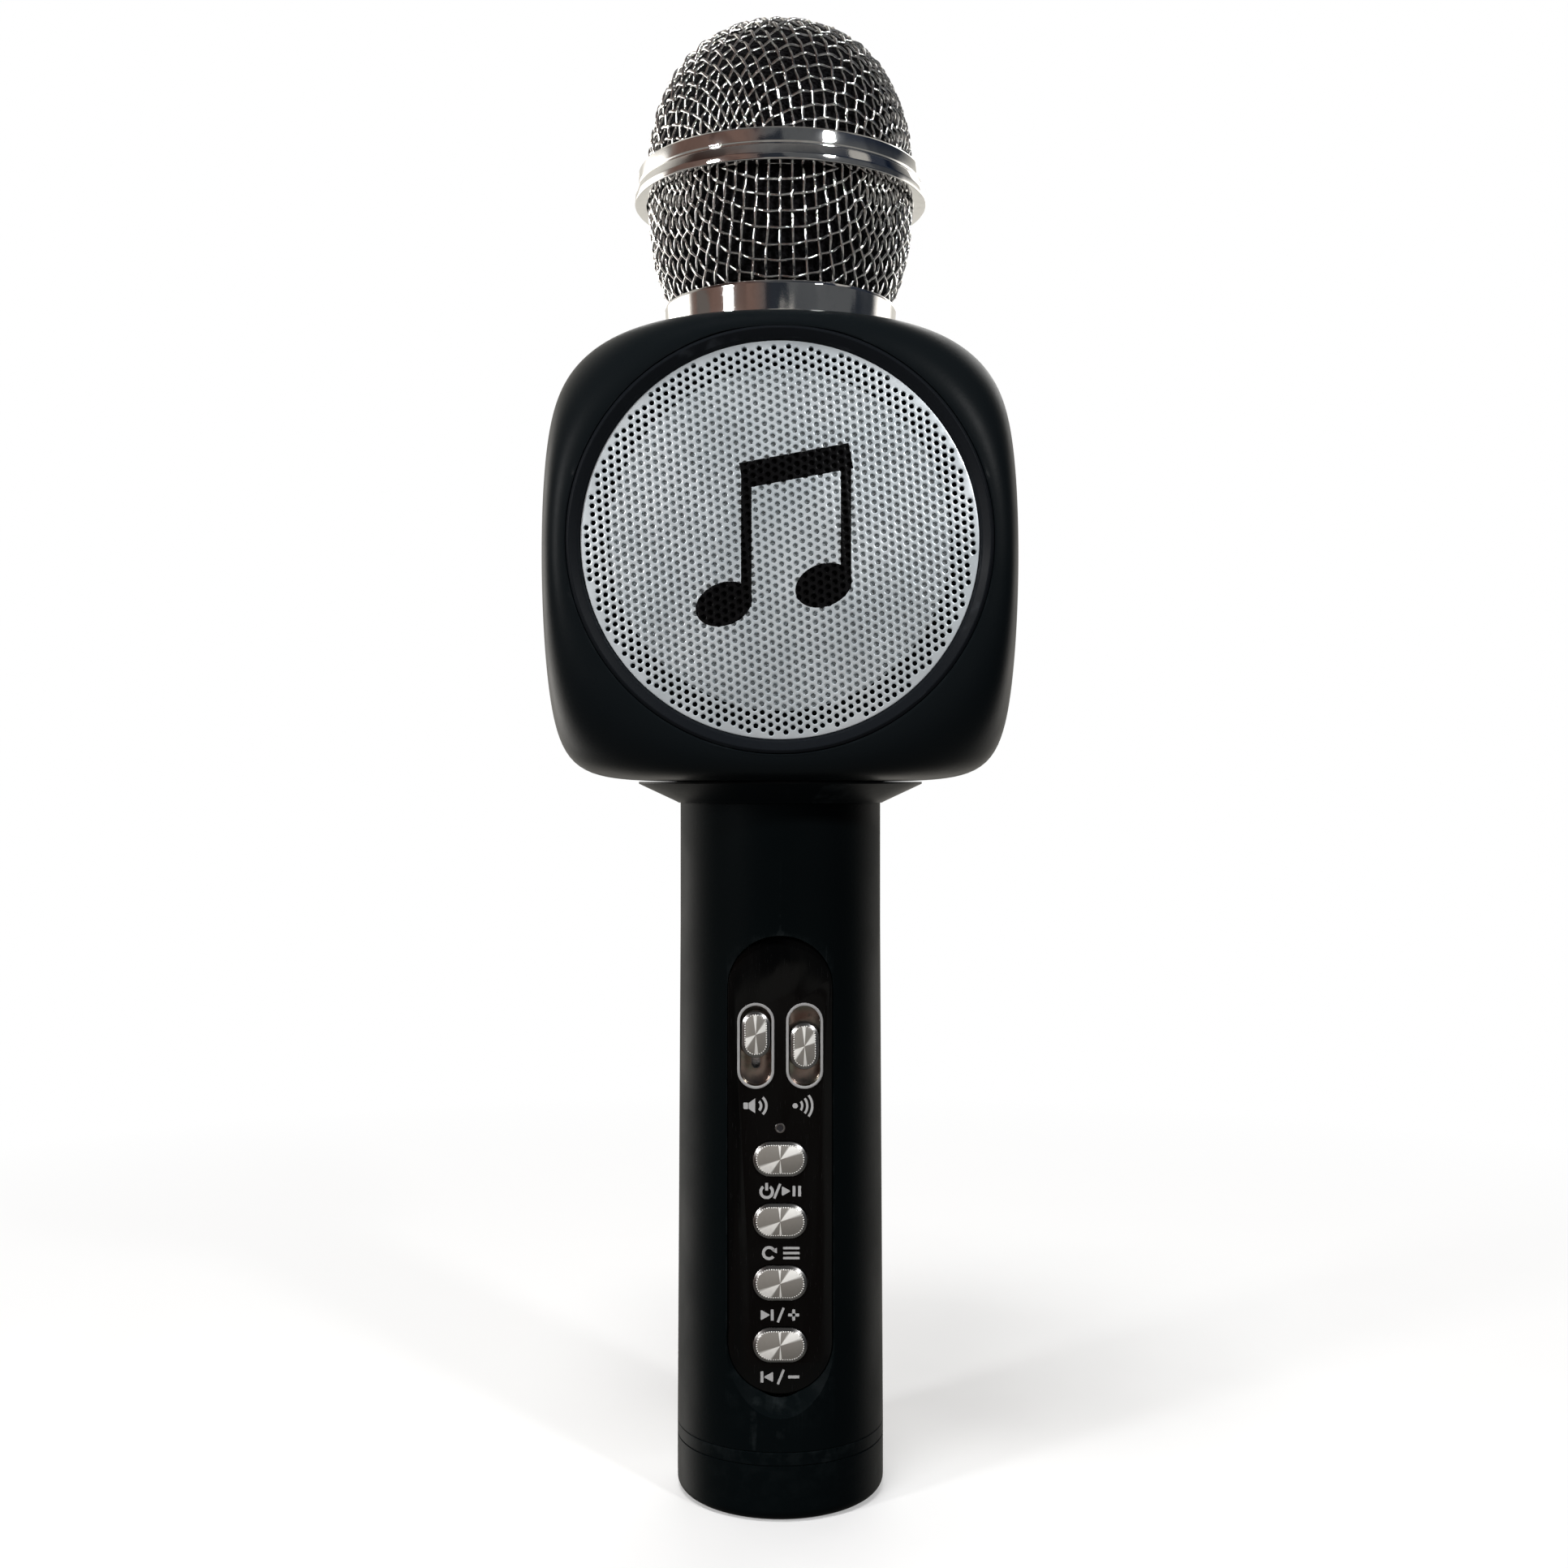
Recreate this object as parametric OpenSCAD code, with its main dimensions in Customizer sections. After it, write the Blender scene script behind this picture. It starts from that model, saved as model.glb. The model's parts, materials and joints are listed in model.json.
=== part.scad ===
// Hand-held karaoke microphone with a built-in loudspeaker.
// Z runs up the handle, the origin is the centre of the base, and the speaker faces -Y.
// Front and rear pieces are drawn by their depth, the distance out from the Z axis.

/* [Head] */
// Radius of the wire mesh ball where the ring goes round it
ball_r = 23.8; // [22:0.1:25]
// Height of the upper mesh above the middle of the ring
dome_rise = 29; // [26:0.5:31]
// Height of the lower mesh between the collar and the middle of the ring
bowl_drop = 21.1; // [19:0.1:24]
// Outer radius of the chrome ring
ring_r = 25.9; // [25.6:0.1:27]
// Height of the chrome ring
ring_h = 5.7; // [4:0.1:8]
// Wall of the folded wire mesh
mesh_wall = 1.2; // [0.9:0.1:1.4]
// Outer radius of the chrome collar at its top
collar_r = 20.6; // [20.3:0.1:21]
// Height of the collar above the housing
collar_h = 6; // [5:0.1:7]
// Pitch radius of the thread that holds the head on
thread_r = 18.4; // [18:0.1:18.6]

/* [Speaker housing] */
// Half of the housing's width
housing_half_w = 39.6; // [39:0.1:42]
// Half of the housing's height
housing_half_h = 39; // [39:0.1:42]
// Radius of the housing's four corners
housing_corner_r = 10; // [8:0.5:14]
// Depth of the housing's front edge from its middle
housing_depth = 32; // [31.5:0.1:33]
// Radius where the domed front meets the trim ring
front_r = 34.6; // [34.6:0.1:36]
// Radius that the domed front would reach at the middle of the housing
dome_r = 52; // [50:0.5:55]
// Wall of the two housing shells
housing_wall = 2.4; // [2:0.1:2.6]
// How far the grille bulges forward in its middle
grille_bulge = 1.8; // [1:0.1:2]

/* [Handle] */
// Outer radius of the handle's straight top, which a stand's clip holds
handle_r = 17.8; // [17.7:0.05:17.9]
// Outer radius of the base, towards which the handle widens
base_r = 18.3; // [18.2:0.05:18.4]
// Inner radius of the handle tube
handle_bore_r = 15.8; // [15.7:0.05:15.9]
// Height of the base cap
base_h = 11.8; // [11:0.1:12.4]
// Rounding of the base cap's lower edge
base_edge_r = 2; // [1:0.1:2.5]
// Height of the tapered neck ring below the housing
neck_h = 3.6; // [3:0.1:4]
// Radius of the neck ring against the housing
neck_r = 25.2; // [24:0.1:27]

/* [Controls] */
// Width of the control panel
panel_w = 17.8; // [17.6:0.1:17.9]
// Length of the control panel
panel_l = 78; // [77.6:0.1:78.1]
// Depth of the control panel's front face
panel_depth = 15.5; // [15.45:0.01:15.6]
// Distance of each slider from the middle
slider_x = 4.15; // [3.9:0.05:4.2]
// Height of the slider trays' middle
slider_z = 80; // [79.5:0.1:80.5]
// Rest place of the volume knob above the tray's middle
volume_rest = 1.95; // [0:0.05:2]
// Rest place of the echo knob above the tray's middle
echo_rest = 0; // [-1:0.05:1]
// Height of the top button
button_z = 60.8; // [60.6:0.1:61]
// Distance from one button to the next
button_pitch = 10.53; // [10.4:0.01:10.6]
// Height of the indicator light
indicator_z = 66; // [65.8:0.1:66.4]

/* [Hidden] */
$fn = 64;
gap = 0.05;                     // play between pieces that only touch

// Heights up the Z axis
housing_bottom_z = 124.9;
tube_top_z = housing_bottom_z + housing_wall + 2;
taper_top_z = 100;
speaker_z = housing_bottom_z + housing_half_h;
housing_top_z = speaker_z + housing_half_h;
collar_bottom_z = housing_top_z + 0.4;
collar_top_z = housing_top_z + collar_h;
ring_z = collar_top_z + bowl_drop;
seat_floor_z = housing_top_z - 6.8;

// Depths behind the front and rear faces of the housing
shelf_front = housing_depth - 3.6;
shelf_back = housing_depth - 5.3;
gasket_t = 0.5;
flange_t = 1.4;
flange_front = shelf_back - gasket_t;
flange_back = flange_front - flange_t;
flange_r = 31.5;
opening_r = 29;
grille_r = 32.2;
grille_t = 0.6;
grille_front = housing_depth + 0.8;
post_at = 29.5;                 // housing screws, each way from the speaker's axis
post_r = 3.8;
board_back = 7.2;               // rear face of the amplifier board
board_t = 1.2;
post_seam = board_back - board_t / 2;
screw_head_depth = 12;

// Depths of the control stack, from the panel inwards
panel_t = 1.4;
panel_back = panel_depth - panel_t;
board_front = 10.4;
board_rear = board_front - 1.2;
chassis_front = 7.9;
chassis_back = 6.3;
panel_z = 59.8;
panel_screw_z = [23.5, 95.6];
button_size = [9.3, 6];
knob_size = [4.9, 8];
tray_size = [6.3, 14.6];
switch_front = 12;

// Places inside the handle
foot_z = 17.2;
battery_z = 27.2;
battery_y = 4.6;
battery_r = 9.2;
battery_l = 65;
base_screw_y = 12;
port_board_y = 1;
jack_at = [7, -2.1];
usb_at = [-7.2, -0.45];
card_y = 3.15;

// ---- helpers ----

// Turns a piece so that its local Z points out of the front, at x and height z.
module facing_front(x = 0, z = 0) translate([x, 0, z]) rotate([90, 0, 0]) children();

// Turns a piece so that its local Z points out of the rear.
module facing_rear(x = 0, z = 0) translate([x, 0, z]) rotate([90, 0, 180]) children();

// Extrudes a flat outline between two depths.
module between(low, high) translate([0, 0, low]) linear_extrude(high - low) children();

// A ring or disc between two heights.
module disc(r, low, high, bore = 0) {
    translate([0, 0, low]) difference() {
        cylinder(r = r, h = high - low);
        if (bore > 0) translate([0, 0, -1]) cylinder(r = bore, h = high - low + 2);
    }
}

// A flat outline with two round ends, size[0] wide and size[1] high.
module stadium(size) {
    r = min(size) / 2;
    reach = max(size) / 2 - r;
    turn = size[0] > size[1] ? 90 : 0;
    rotate(turn) {
        square([2 * r, 2 * reach], center = true);
        for (side = [-1, 1]) translate([0, side * reach]) circle(r);
    }
}

// A stadium whose sides slope in by inset between two depths.
module stadium_frustum(size, inset, low, high) {
    r = min(size) / 2;
    reach = max(size) / 2 - r;
    turn = size[0] > size[1] ? 90 : 0;
    rise = high - low;
    rotate(turn) translate([0, 0, low]) {
        for (side = [-1, 1]) translate([0, side * reach, 0])
            cylinder(r1 = r, r2 = r - inset, h = rise);
        translate([0, reach, 0]) rotate([90, 0, 0]) linear_extrude(2 * reach)
            polygon([[-r, 0], [r, 0], [r - inset, rise], [inset - r, rise]]);
    }
}

module rounded_rectangle(half_w, half_h, r) {
    square([2 * half_w, 2 * (half_h - r)], center = true);
    square([2 * (half_w - r), 2 * half_h], center = true);
    for (x = [-1, 1], y = [-1, 1]) translate([x * (half_w - r), y * (half_h - r)]) circle(r);
}

// A round wire through a list of points.
module wire(points, r) {
    for (i = [0 : len(points) - 2]) {
        run = points[i + 1] - points[i];
        tilt = [0, acos(run[2] / norm(run)), atan2(run[1], run[0])];
        translate(points[i]) rotate(tilt) cylinder(r = r, h = norm(run), $fn = 16);
    }
    for (i = [1 : 1 : len(points) - 2]) translate(points[i]) sphere(r = 1.2 * r, $fn = 16);
}

// A machine screw pointing down its local -Z, with its head above.
module screw(shaft_r, shaft_l, head_r, head_h) {
    translate([0, 0, -shaft_l]) cylinder(r = shaft_r, h = shaft_l + 0.2);
    difference() {
        cylinder(r = head_r, h = head_h);
        translate([0, 0, head_h / 2]) for (turn = [0, 90]) rotate(turn)
            cube([head_r * 1.1, head_r * 0.28, head_h], center = true);
    }
}

// ---- head ----

// The upper mesh is a little fuller than an ellipse.
dome_power = 2.4;
function upper_point(angle, inset) = [
    (ball_r - inset) * pow(cos(angle), 2 / dome_power),
    ring_z + (dome_rise - inset) * pow(sin(angle), 2 / dome_power)
];

// The lower mesh keeps its width below the ring and then closes in faster than a ball.
bowl_reach = 32.5;
bowl_power = 2.6;
function bowl_radius(drop, inset) = ball_r * sqrt(1 - pow(drop / bowl_reach, bowl_power)) - inset;
bowl_depth = bowl_drop + 1.7;   // the lower mesh runs on into the collar
mesh_joint = 0.1;               // between the two meshes
function lower_drop(part) = mesh_joint + (bowl_depth - mesh_joint) * part;
function lower_point(part, inset) = [bowl_radius(lower_drop(part), inset), ring_z - lower_drop(part)];

module upper_mesh() color("silver") rotate_extrude() polygon(concat(
    [for (angle = [0 : 5 : 90]) upper_point(angle, 0)],
    [for (angle = [90 : -5 : 0]) upper_point(angle, mesh_wall)]
));

module lower_mesh() color("silver") rotate_extrude() polygon(concat(
    [for (i = [0 : 16]) lower_point(i / 16, 0)],
    [for (i = [16 : -1 : 0]) lower_point(i / 16, mesh_wall)]
));

module head_ring() color("gainsboro") {
    half = ring_h / 2;
    bevel = 0.6;
    rotate_extrude() translate([0, ring_z]) polygon([
        [ball_r + gap, -half], [ring_r - bevel, -half], [ring_r, bevel - half],
        [ring_r, -0.3], [ring_r - 0.3, 0], [ring_r, 0.3],
        [ring_r, half - bevel], [ring_r - bevel, half], [ball_r + gap, half]
    ]);
}

foam_inset = mesh_wall + 0.3;
foam_wall = 5;
module windscreen_foam() color("dimgray") {
    foam_bottom = collar_top_z + 1;
    low_r = bowl_radius(bowl_drop - 1, foam_inset);
    hollow_rise = dome_rise - foam_inset - foam_wall - 6;
    rotate_extrude() polygon(concat(
        [[low_r - foam_wall, foam_bottom], [low_r, foam_bottom]],
        [for (i = [4 : -1 : 1]) [bowl_radius(i * 4, foam_inset), ring_z - i * 4]],
        [for (angle = [0 : 6 : 90]) upper_point(angle, foam_inset)],
        [for (angle = [90 : -10 : 0])
            [(low_r - foam_wall) * cos(angle), ring_z + hollow_rise * sin(angle)]]
    ));
}

module head_collar() color("gainsboro") {
    bowl_end_z = ring_z - bowl_depth;
    rotate_extrude() polygon([
        [16.4, housing_top_z - 4.6], [thread_r, housing_top_z - 4.6], [thread_r, collar_bottom_z],
        [collar_r - 0.4, collar_bottom_z], [collar_r, collar_top_z - 0.3],
        [collar_r - 0.3, collar_top_z],
        [bowl_radius(bowl_drop, 0) + gap, collar_top_z],
        [bowl_radius(bowl_depth, 0) + gap, bowl_end_z],
        [bowl_radius(bowl_depth, 0) + gap, bowl_end_z - gap],
        [16.4, bowl_end_z - gap]
    ]);
}

module head_seal() color("black") disc(19.9, housing_top_z, collar_bottom_z, thread_r + 0.1);

holder_r = 11.5;
capsule_r = 9.6;
capsule_z = 211;
module capsule_holder() color("darkslategray") difference() {
    union() {
        disc(14, seat_floor_z + 1.8, seat_floor_z + 3.3);
        disc(holder_r, seat_floor_z + 3.3, capsule_z + 7);
    }
    disc(capsule_r + gap, capsule_z, capsule_z + 8);
    disc(3, seat_floor_z, capsule_z + 1);
}

module capsule() color("silver") {
    disc(capsule_r, capsule_z, capsule_z + 11);
    disc(capsule_r - 1.4, capsule_z + 11, capsule_z + 12.2);
}

module head_seat() color("dimgray") difference() {
    union() {
        disc(21, seat_floor_z, housing_top_z);
        disc(23.5, seat_floor_z + 0.5, seat_floor_z + 2.5);
    }
    disc(thread_r + gap, seat_floor_z + 1.8, housing_top_z + 1);
    disc(3, seat_floor_z - 1, seat_floor_z + 3);
}

// ---- speaker housing ----

// Half of the domed body: a rounded square block cut by a body of revolution about the speaker's
// axis. Everything in it is drawn with the axis along Z.
module housing_block(inset) {
    edge = front_r - inset;
    depth = housing_depth - inset;
    intersection() {
        linear_extrude(depth) rounded_rectangle(
            housing_half_w - inset, housing_half_h - inset, housing_corner_r - inset);
        rotate_extrude() polygon(concat(
            [[0, 0]],
            [for (angle = [0 : 9 : 90])
                [edge + (dome_r - front_r) * cos(angle), depth * sin(angle)]],
            [[0, depth]]
        ));
    }
}

// The boss round the head seat, and the bores in which the shells clamp the seat and the handle.
module clamp_boss() translate([0, 0, seat_floor_z - 0.3]) cylinder(r = 25.3, h = 5);

module clamp_bores() {
    disc(21 + gap, seat_floor_z - 1, housing_top_z + 1);
    disc(23.5 + gap, seat_floor_z + 0.45, seat_floor_z + 2.55);
    disc(handle_r + gap, housing_bottom_z - 1, housing_bottom_z + housing_wall + 1);
}

module at_posts() for (x = [-1, 1], y = [-1, 1]) translate([x * post_at, y * post_at, 0]) children();

// One shell with its cavity and grille seat, before its screw posts.
module shell_wall() difference() {
    housing_block(0);
    intersection() {
        translate([0, 0, -1]) linear_extrude(shelf_back + 1) square(100, center = true);
        union() {
            housing_block(housing_wall);
            translate([0, 0, -1]) linear_extrude(1.5) rounded_rectangle(
                housing_half_w - housing_wall, housing_half_h - housing_wall,
                housing_corner_r - housing_wall);
        }
    }
    translate([0, 0, shelf_front]) cylinder(r = front_r - 0.05, h = 10);
    translate([0, 0, shelf_back - 2]) cylinder(r = opening_r, h = 10);
}

// Four posts that stand from the given depths up to the inside of a shell.
module screw_posts(lower_end, upper_end) intersection() {
    for (x = [-1, 1], y = [-1, 1]) translate([x * post_at, y * post_at, 0])
        between(y < 0 ? lower_end : upper_end, housing_depth) circle(post_r);
    union() {
        housing_block(1);
        between(-10, 1) square(2 * post_at + 3 * post_r, center = true);
    }
}

module housing_front() color("#15181b") difference() {
    union() {
        facing_front(z = speaker_z) {
            shell_wall();
            screw_posts(board_t - board_back, -post_seam);
        }
        intersection() {
            clamp_boss();
            translate([-50, -50, 0]) cube([100, 50, 300]);
        }
    }
    clamp_bores();
    facing_front(z = speaker_z) {
        at_posts() between(-9, 20) circle(1.32);
        at_speaker_screws() between(20, shelf_back + 1.2) circle(0.92);
    }
}

module housing_rear() color("#15181b") difference() {
    union() {
        facing_rear(z = speaker_z) {
            shell_wall();
            screw_posts(board_back, post_seam);
        }
        intersection() {
            clamp_boss();
            translate([-50, 0, 0]) cube([100, 50, 300]);
        }
    }
    clamp_bores();
    facing_rear(z = speaker_z) at_posts() {
        between(5, 30) circle(1.5);
        between(screw_head_depth, 40) circle(2.6);
    }
}

// A dished sheet that fills the trim ring, with its edge folded back.
module grille_dish() {
    sag_r = (31 * 31 + grille_bulge * grille_bulge) / (2 * grille_bulge);
    function dish(r) = grille_front - sag_r + sqrt(sag_r * sag_r - r * r);
    fold_back = shelf_front + 1;
    rotate_extrude() polygon(concat(
        [for (i = [0 : 10]) [3.1 * i, dish(3.1 * i)]],
        [[31.7, dish(31) - 0.25], [grille_r, dish(31) - 0.9], [grille_r, fold_back],
         [grille_r - grille_t, fold_back], [grille_r - grille_t, dish(31) - 0.95]],
        [for (i = [10 : -1 : 0]) [3.1 * i, dish(3.1 * i) - grille_t]]
    ));
}

module front_grille() color("lightsteelblue") facing_front(z = speaker_z) grille_dish();
module rear_grille() color("lightsteelblue") facing_rear(z = speaker_z) grille_dish();

// The matt ring round a grille: it slopes in to the grille and has a lip behind it.
module trim_ring() rotate_extrude() polygon([
    [30.6, shelf_front], [front_r - 0.1, shelf_front], [front_r - 0.1, housing_depth - 0.1],
    [front_r - 0.4, housing_depth + 0.2], [grille_r + 0.4, housing_depth - 0.6],
    [grille_r + 0.1, housing_depth - 1], [grille_r + 0.1, shelf_front + 0.9],
    [30.6, shelf_front + 0.9]
]);

module front_trim() color("#23272c") facing_front(z = speaker_z) trim_ring();
module rear_trim() color("#23272c") facing_rear(z = speaker_z) trim_ring();

// ---- loudspeaker and passive radiator ----

module at_speaker_screws() for (turn = [0 : 90 : 270]) rotate(turn + 20)
    translate([30.2, 0, 0]) children();

basket_floor = 13;
magnet_back = 3.5;
module speaker_basket() color("dimgray") facing_front(z = speaker_z) difference() {
    rotate_extrude() polygon([
        [8, basket_floor - 1.6], [15, basket_floor - 1.6], [27.4, flange_back - 1],
        [27.4, flange_back], [flange_r, flange_back], [flange_r, flange_front],
        [26.4, flange_front], [26.4, flange_back - 0.6], [14.6, basket_floor],
        [8, basket_floor]
    ]);
    for (turn = [0 : 60 : 300]) rotate(turn) translate([20.5, 0, 14]) cylinder(r = 4, h = 9);
    at_speaker_screws() between(flange_back - 1, flange_front + 1) circle(1.05);
}

module speaker_magnet() color("#3a3a3c") facing_front(z = speaker_z) {
    disc(17, magnet_back, basket_floor - 1.6, 9);
    disc(16.4, magnet_back - 2, magnet_back);
    disc(6.4, magnet_back - 0.5, basket_floor);
}

module voice_coil() color("peru") facing_front(z = speaker_z) disc(7.4, 8.5, 16.2, 6.8);

surround_z = flange_back - 0.5;
module speaker_cone() color("#2b2b2d") facing_front(z = speaker_z) rotate_extrude() polygon([
    [7.4, 15.2], [22.4, surround_z - 0.1], [22.4, surround_z + 0.5], [21.9, surround_z + 0.5],
    [7.4, 16]
]);

module speaker_surround() color("black") facing_front(z = speaker_z) rotate_extrude() polygon(concat(
    [[22.41, surround_z], [22.41, surround_z + 0.5]],
    [for (angle = [150 : -30 : 30])
        [24.4 + 1.9 * cos(angle), surround_z + 0.5 + 1.9 * sin(angle)]],
    [[26.35, surround_z + 0.5], [26.35, surround_z], [26, surround_z]],
    [for (angle = [30 : 30 : 150]) [24.4 + 1.4 * cos(angle), surround_z + 0.3 + 1.4 * sin(angle)]]
));

module dust_cap() color("#202022") facing_front(z = speaker_z) rotate_extrude() polygon(concat(
    [[7.4, 16.4], [8, 16.7]],
    [for (angle = [15 : 15 : 90]) [8 * cos(angle), 16.7 + 3.2 * sin(angle)]],
    [for (angle = [90 : -15 : 15]) [7.4 * cos(angle), 16.4 + 2.8 * sin(angle)]]
));

module speaker_gasket() color("#1c1c1e") facing_front(z = speaker_z)
    disc(28.9, flange_front, shelf_back, 26.5);

module radiator_frame() color("dimgray") facing_rear(z = speaker_z) rotate_extrude() polygon([
    [25.4, flange_back - 2], [27, flange_back - 2], [27, flange_back], [flange_r, flange_back],
    [flange_r, flange_front], [25.4, flange_front]
]);

module radiator_surround() color("black") facing_rear(z = speaker_z) rotate_extrude() polygon(concat(
    [[18.4, 23.7], [18.4, 24.2], [20.4, 24.2]],
    [for (angle = [150 : -30 : 30]) [22.8 + 2.2 * cos(angle), 23.8 + 1.8 * sin(angle)]],
    [[25.35, 24.2], [25.35, 23.7], [25, 23.7]],
    [for (angle = [30 : 30 : 150]) [22.8 + 1.7 * cos(angle), 23.3 + 1.3 * sin(angle)]]
));

module radiator_cone() color("#2b2b2d") facing_rear(z = speaker_z) disc(18.35, 23, 24.4);
module radiator_weight() color("silver") facing_rear(z = speaker_z) disc(8, 19.5, 23);

// ---- electronics in the housing ----

module amplifier_board() color("darkgreen") facing_rear(z = speaker_z) {
    difference() {
        between(board_back - board_t, board_back) translate([0, -19.5]) square([67, 28], center = true);
        for (x = [-1, 1]) translate([x * post_at, -post_at, 0]) between(0, 10) circle(1.6);
        between(0, 10) translate([0, -34]) square([26, 8], center = true);
    }
    for (x = [-24, -16]) translate([x, -12, board_back]) cylinder(r = 3.2, h = 8);
    translate([-4, -20, board_back]) cube([8, 8, 1.6]);
    translate([12, -26, board_back]) cube([7, 7, 3.5]);
    translate([12, -14, board_back]) cube([9, 5, 4]);
}

module housing_screws() color("gray") facing_rear(z = speaker_z) at_posts()
    translate([0, 0, screw_head_depth]) screw(1.28, 19.6, 2.4, 1.7);

module speaker_screws() color("gray") facing_front(z = speaker_z) at_speaker_screws()
    translate([0, 0, flange_back]) rotate([180, 0, 0]) screw(0.9, 3, 1.3, 1.2);

// ---- handle ----

module neck_ring() color("#15181b") rotate_extrude() polygon([
    [handle_r + 0.07, housing_bottom_z - neck_h - 0.1], [handle_r + 0.5, housing_bottom_z - neck_h - 0.1],
    [handle_r + 1.5, housing_bottom_z - neck_h + 0.6], [neck_r - 0.3, housing_bottom_z - 0.5],
    [neck_r, housing_bottom_z - 0.1], [handle_r + 0.07, housing_bottom_z - 0.1]
]);

// The window that the control panel fills. Its lower end is cut back at a slope.
module panel_window() facing_front(z = panel_z) {
    window = [panel_w + 0.2, panel_l + 0.2];
    between(9, 20) stadium(window);
    translate([0, window[0] / 2 - window[1] / 2, panel_depth])
        cylinder(r1 = window[0] / 2, r2 = window[0] / 2 + 4.6, h = 4);
}

module handle_tube() color("#171a1e") difference() {
    rotate_extrude() polygon([
        [handle_bore_r, base_h], [base_r, base_h], [handle_r, taper_top_z],
        [handle_r, tube_top_z - 2], [handle_r + 1.8, tube_top_z - 2],
        [handle_r + 1.8, tube_top_z], [handle_bore_r, tube_top_z]
    ]);
    panel_window();
}

module handle_chassis() color("#2a2c2e") difference() {
    union() {
        translate([-12.3, -chassis_front, foot_z + 1]) cube([24.6, chassis_front - chassis_back, 101]);
        disc(handle_bore_r - 0.15, foot_z, foot_z + 2);
        disc(handle_bore_r - 0.15, 117.5, 119.5);
        for (z = [34, 58, 82]) intersection() {
            disc(handle_bore_r - 0.15, z, z + 2);
            translate([-20, -chassis_back - 0.5, 0]) cube([40, chassis_back + 4.5, 120]);
        }
        for (y = [-1, 1]) translate([0, y * base_screw_y, foot_z - 2.6]) cylinder(r = 2.1, h = 3);
        for (z = panel_screw_z) facing_front(z = z) between(chassis_front - 0.5, board_rear) circle(2.3);
    }
    translate([0, battery_y, 0]) disc(battery_r + 0.1, 25, 116);
    translate([0, 6, 0]) linear_extrude(130) square([12, 10], center = true);
    for (y = [-1, 1]) translate([0, y * base_screw_y, 0]) disc(1.02, foot_z - 3, foot_z + 3);
    for (z = panel_screw_z) facing_front(z = z) between(0, 12) circle(0.9);
}

module battery() color("royalblue") translate([0, battery_y, 0])
    disc(battery_r, battery_z, battery_z + battery_l);

module battery_contacts() color("lightgray") translate([0, battery_y, 0]) {
    disc(4, battery_z - 0.4, battery_z);
    disc(4, battery_z + battery_l, battery_z + battery_l + 0.4);
}

// ---- control panel ----

module at_sliders() for (side = [-1, 1]) translate([side * slider_x, slider_z - panel_z, 0]) children();
module at_buttons() for (i = [0 : 3])
    translate([0, button_z - i * button_pitch - panel_z, 0]) children();

module control_panel() color("#08090a") facing_front(z = panel_z) difference() {
    union() {
        between(panel_back, panel_depth) stadium([panel_w, panel_l]);
        for (z = panel_screw_z) translate([0, z - panel_z, 0])
            between(board_front + gap, panel_back + 0.2) circle(1.9);
    }
    at_sliders() between(13, 17) stadium(tray_size - [0.3, 0.3]);
    at_buttons() between(13, 17) stadium(button_size + [0.2, 0.2]);
    translate([0, indicator_z - panel_z, 0]) between(13, 17) circle(0.87);
    for (z = panel_screw_z) translate([0, z - panel_z, 0]) between(10, 13.3) circle(0.82);
}

module control_board() color("darkgreen") facing_front(z = panel_z) difference() {
    between(board_rear, board_front) square([16.8, 77.4], center = true);
    for (z = panel_screw_z) translate([0, z - panel_z, 0]) between(8, 12) circle(0.9);
}

// A bright slider tray: a rim on the panel, a cup sunk into it and a slot for the lever.
tray_floor = 14.2;
lever_slot = [1.5, 8];
module slider_tray(side) color("silver") facing_front(side * slider_x, slider_z) difference() {
    union() {
        between(panel_depth, panel_depth + 0.35) stadium(tray_size);
        between(tray_floor - 0.4, panel_depth + 0.1) stadium(tray_size - [0.4, 0.4]);
    }
    between(tray_floor, 17) stadium(tray_size - [0.9, 0.9]);
    between(13, 15) stadium(lever_slot);
}

module volume_tray() slider_tray(-1);
module echo_tray() slider_tray(1);

// The lever of the sliding resistor fills a socket in the knob.
lever_size = [1, 1.6];
module slider_knob(side, rest) color("silver") facing_front(side * slider_x, slider_z + rest) difference() {
    union() {
        between(tray_floor + 0.15, panel_depth + 0.25) stadium(knob_size);
        stadium_frustum(knob_size, 0.4, panel_depth + 0.25, panel_depth + 0.65);
    }
    between(14, 15.2) square(lever_size + [0.04, 0.04], center = true);
}

module volume_knob() slider_knob(-1, volume_rest);
module echo_knob() slider_knob(1, echo_rest);

module slider_pot(side) color("slategray") facing_front(side * slider_x, slider_z) difference() {
    between(board_front, 13.5) square([5.5, 14.8], center = true);
    between(board_front + 0.6, 13.1) square([4.3, 12.6], center = true);
    between(12, 15) stadium(lever_slot);
}

module volume_pot() slider_pot(-1);
module echo_pot() slider_pot(1);

module slider_wiper(side, rest) color("ivory") facing_front(side * slider_x, slider_z + rest) {
    between(11.2, 12.9) square([4, 4.4], center = true);
    between(12.5, 15.15) square(lever_size, center = true);
}

module volume_wiper() slider_wiper(-1, volume_rest);
module echo_wiper() slider_wiper(1, echo_rest);

// A bright push button: a sloped cap in the panel, a flange behind it and a stem in its switch.
module push_button(i) color("silver") facing_front(z = button_z - i * button_pitch) {
    between(panel_back - 0.2, panel_depth + 0.3) stadium(button_size);
    stadium_frustum(button_size, 0.5, panel_depth + 0.3, panel_depth + 0.85);
    between(13.2, panel_back - 0.1) stadium(button_size + [1.1, 1.1]);
    between(11.35, 13.5) circle(1.1);
}

module power_button() push_button(0);
module mode_button() push_button(1);
module next_button() push_button(2);
module previous_button() push_button(3);

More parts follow.
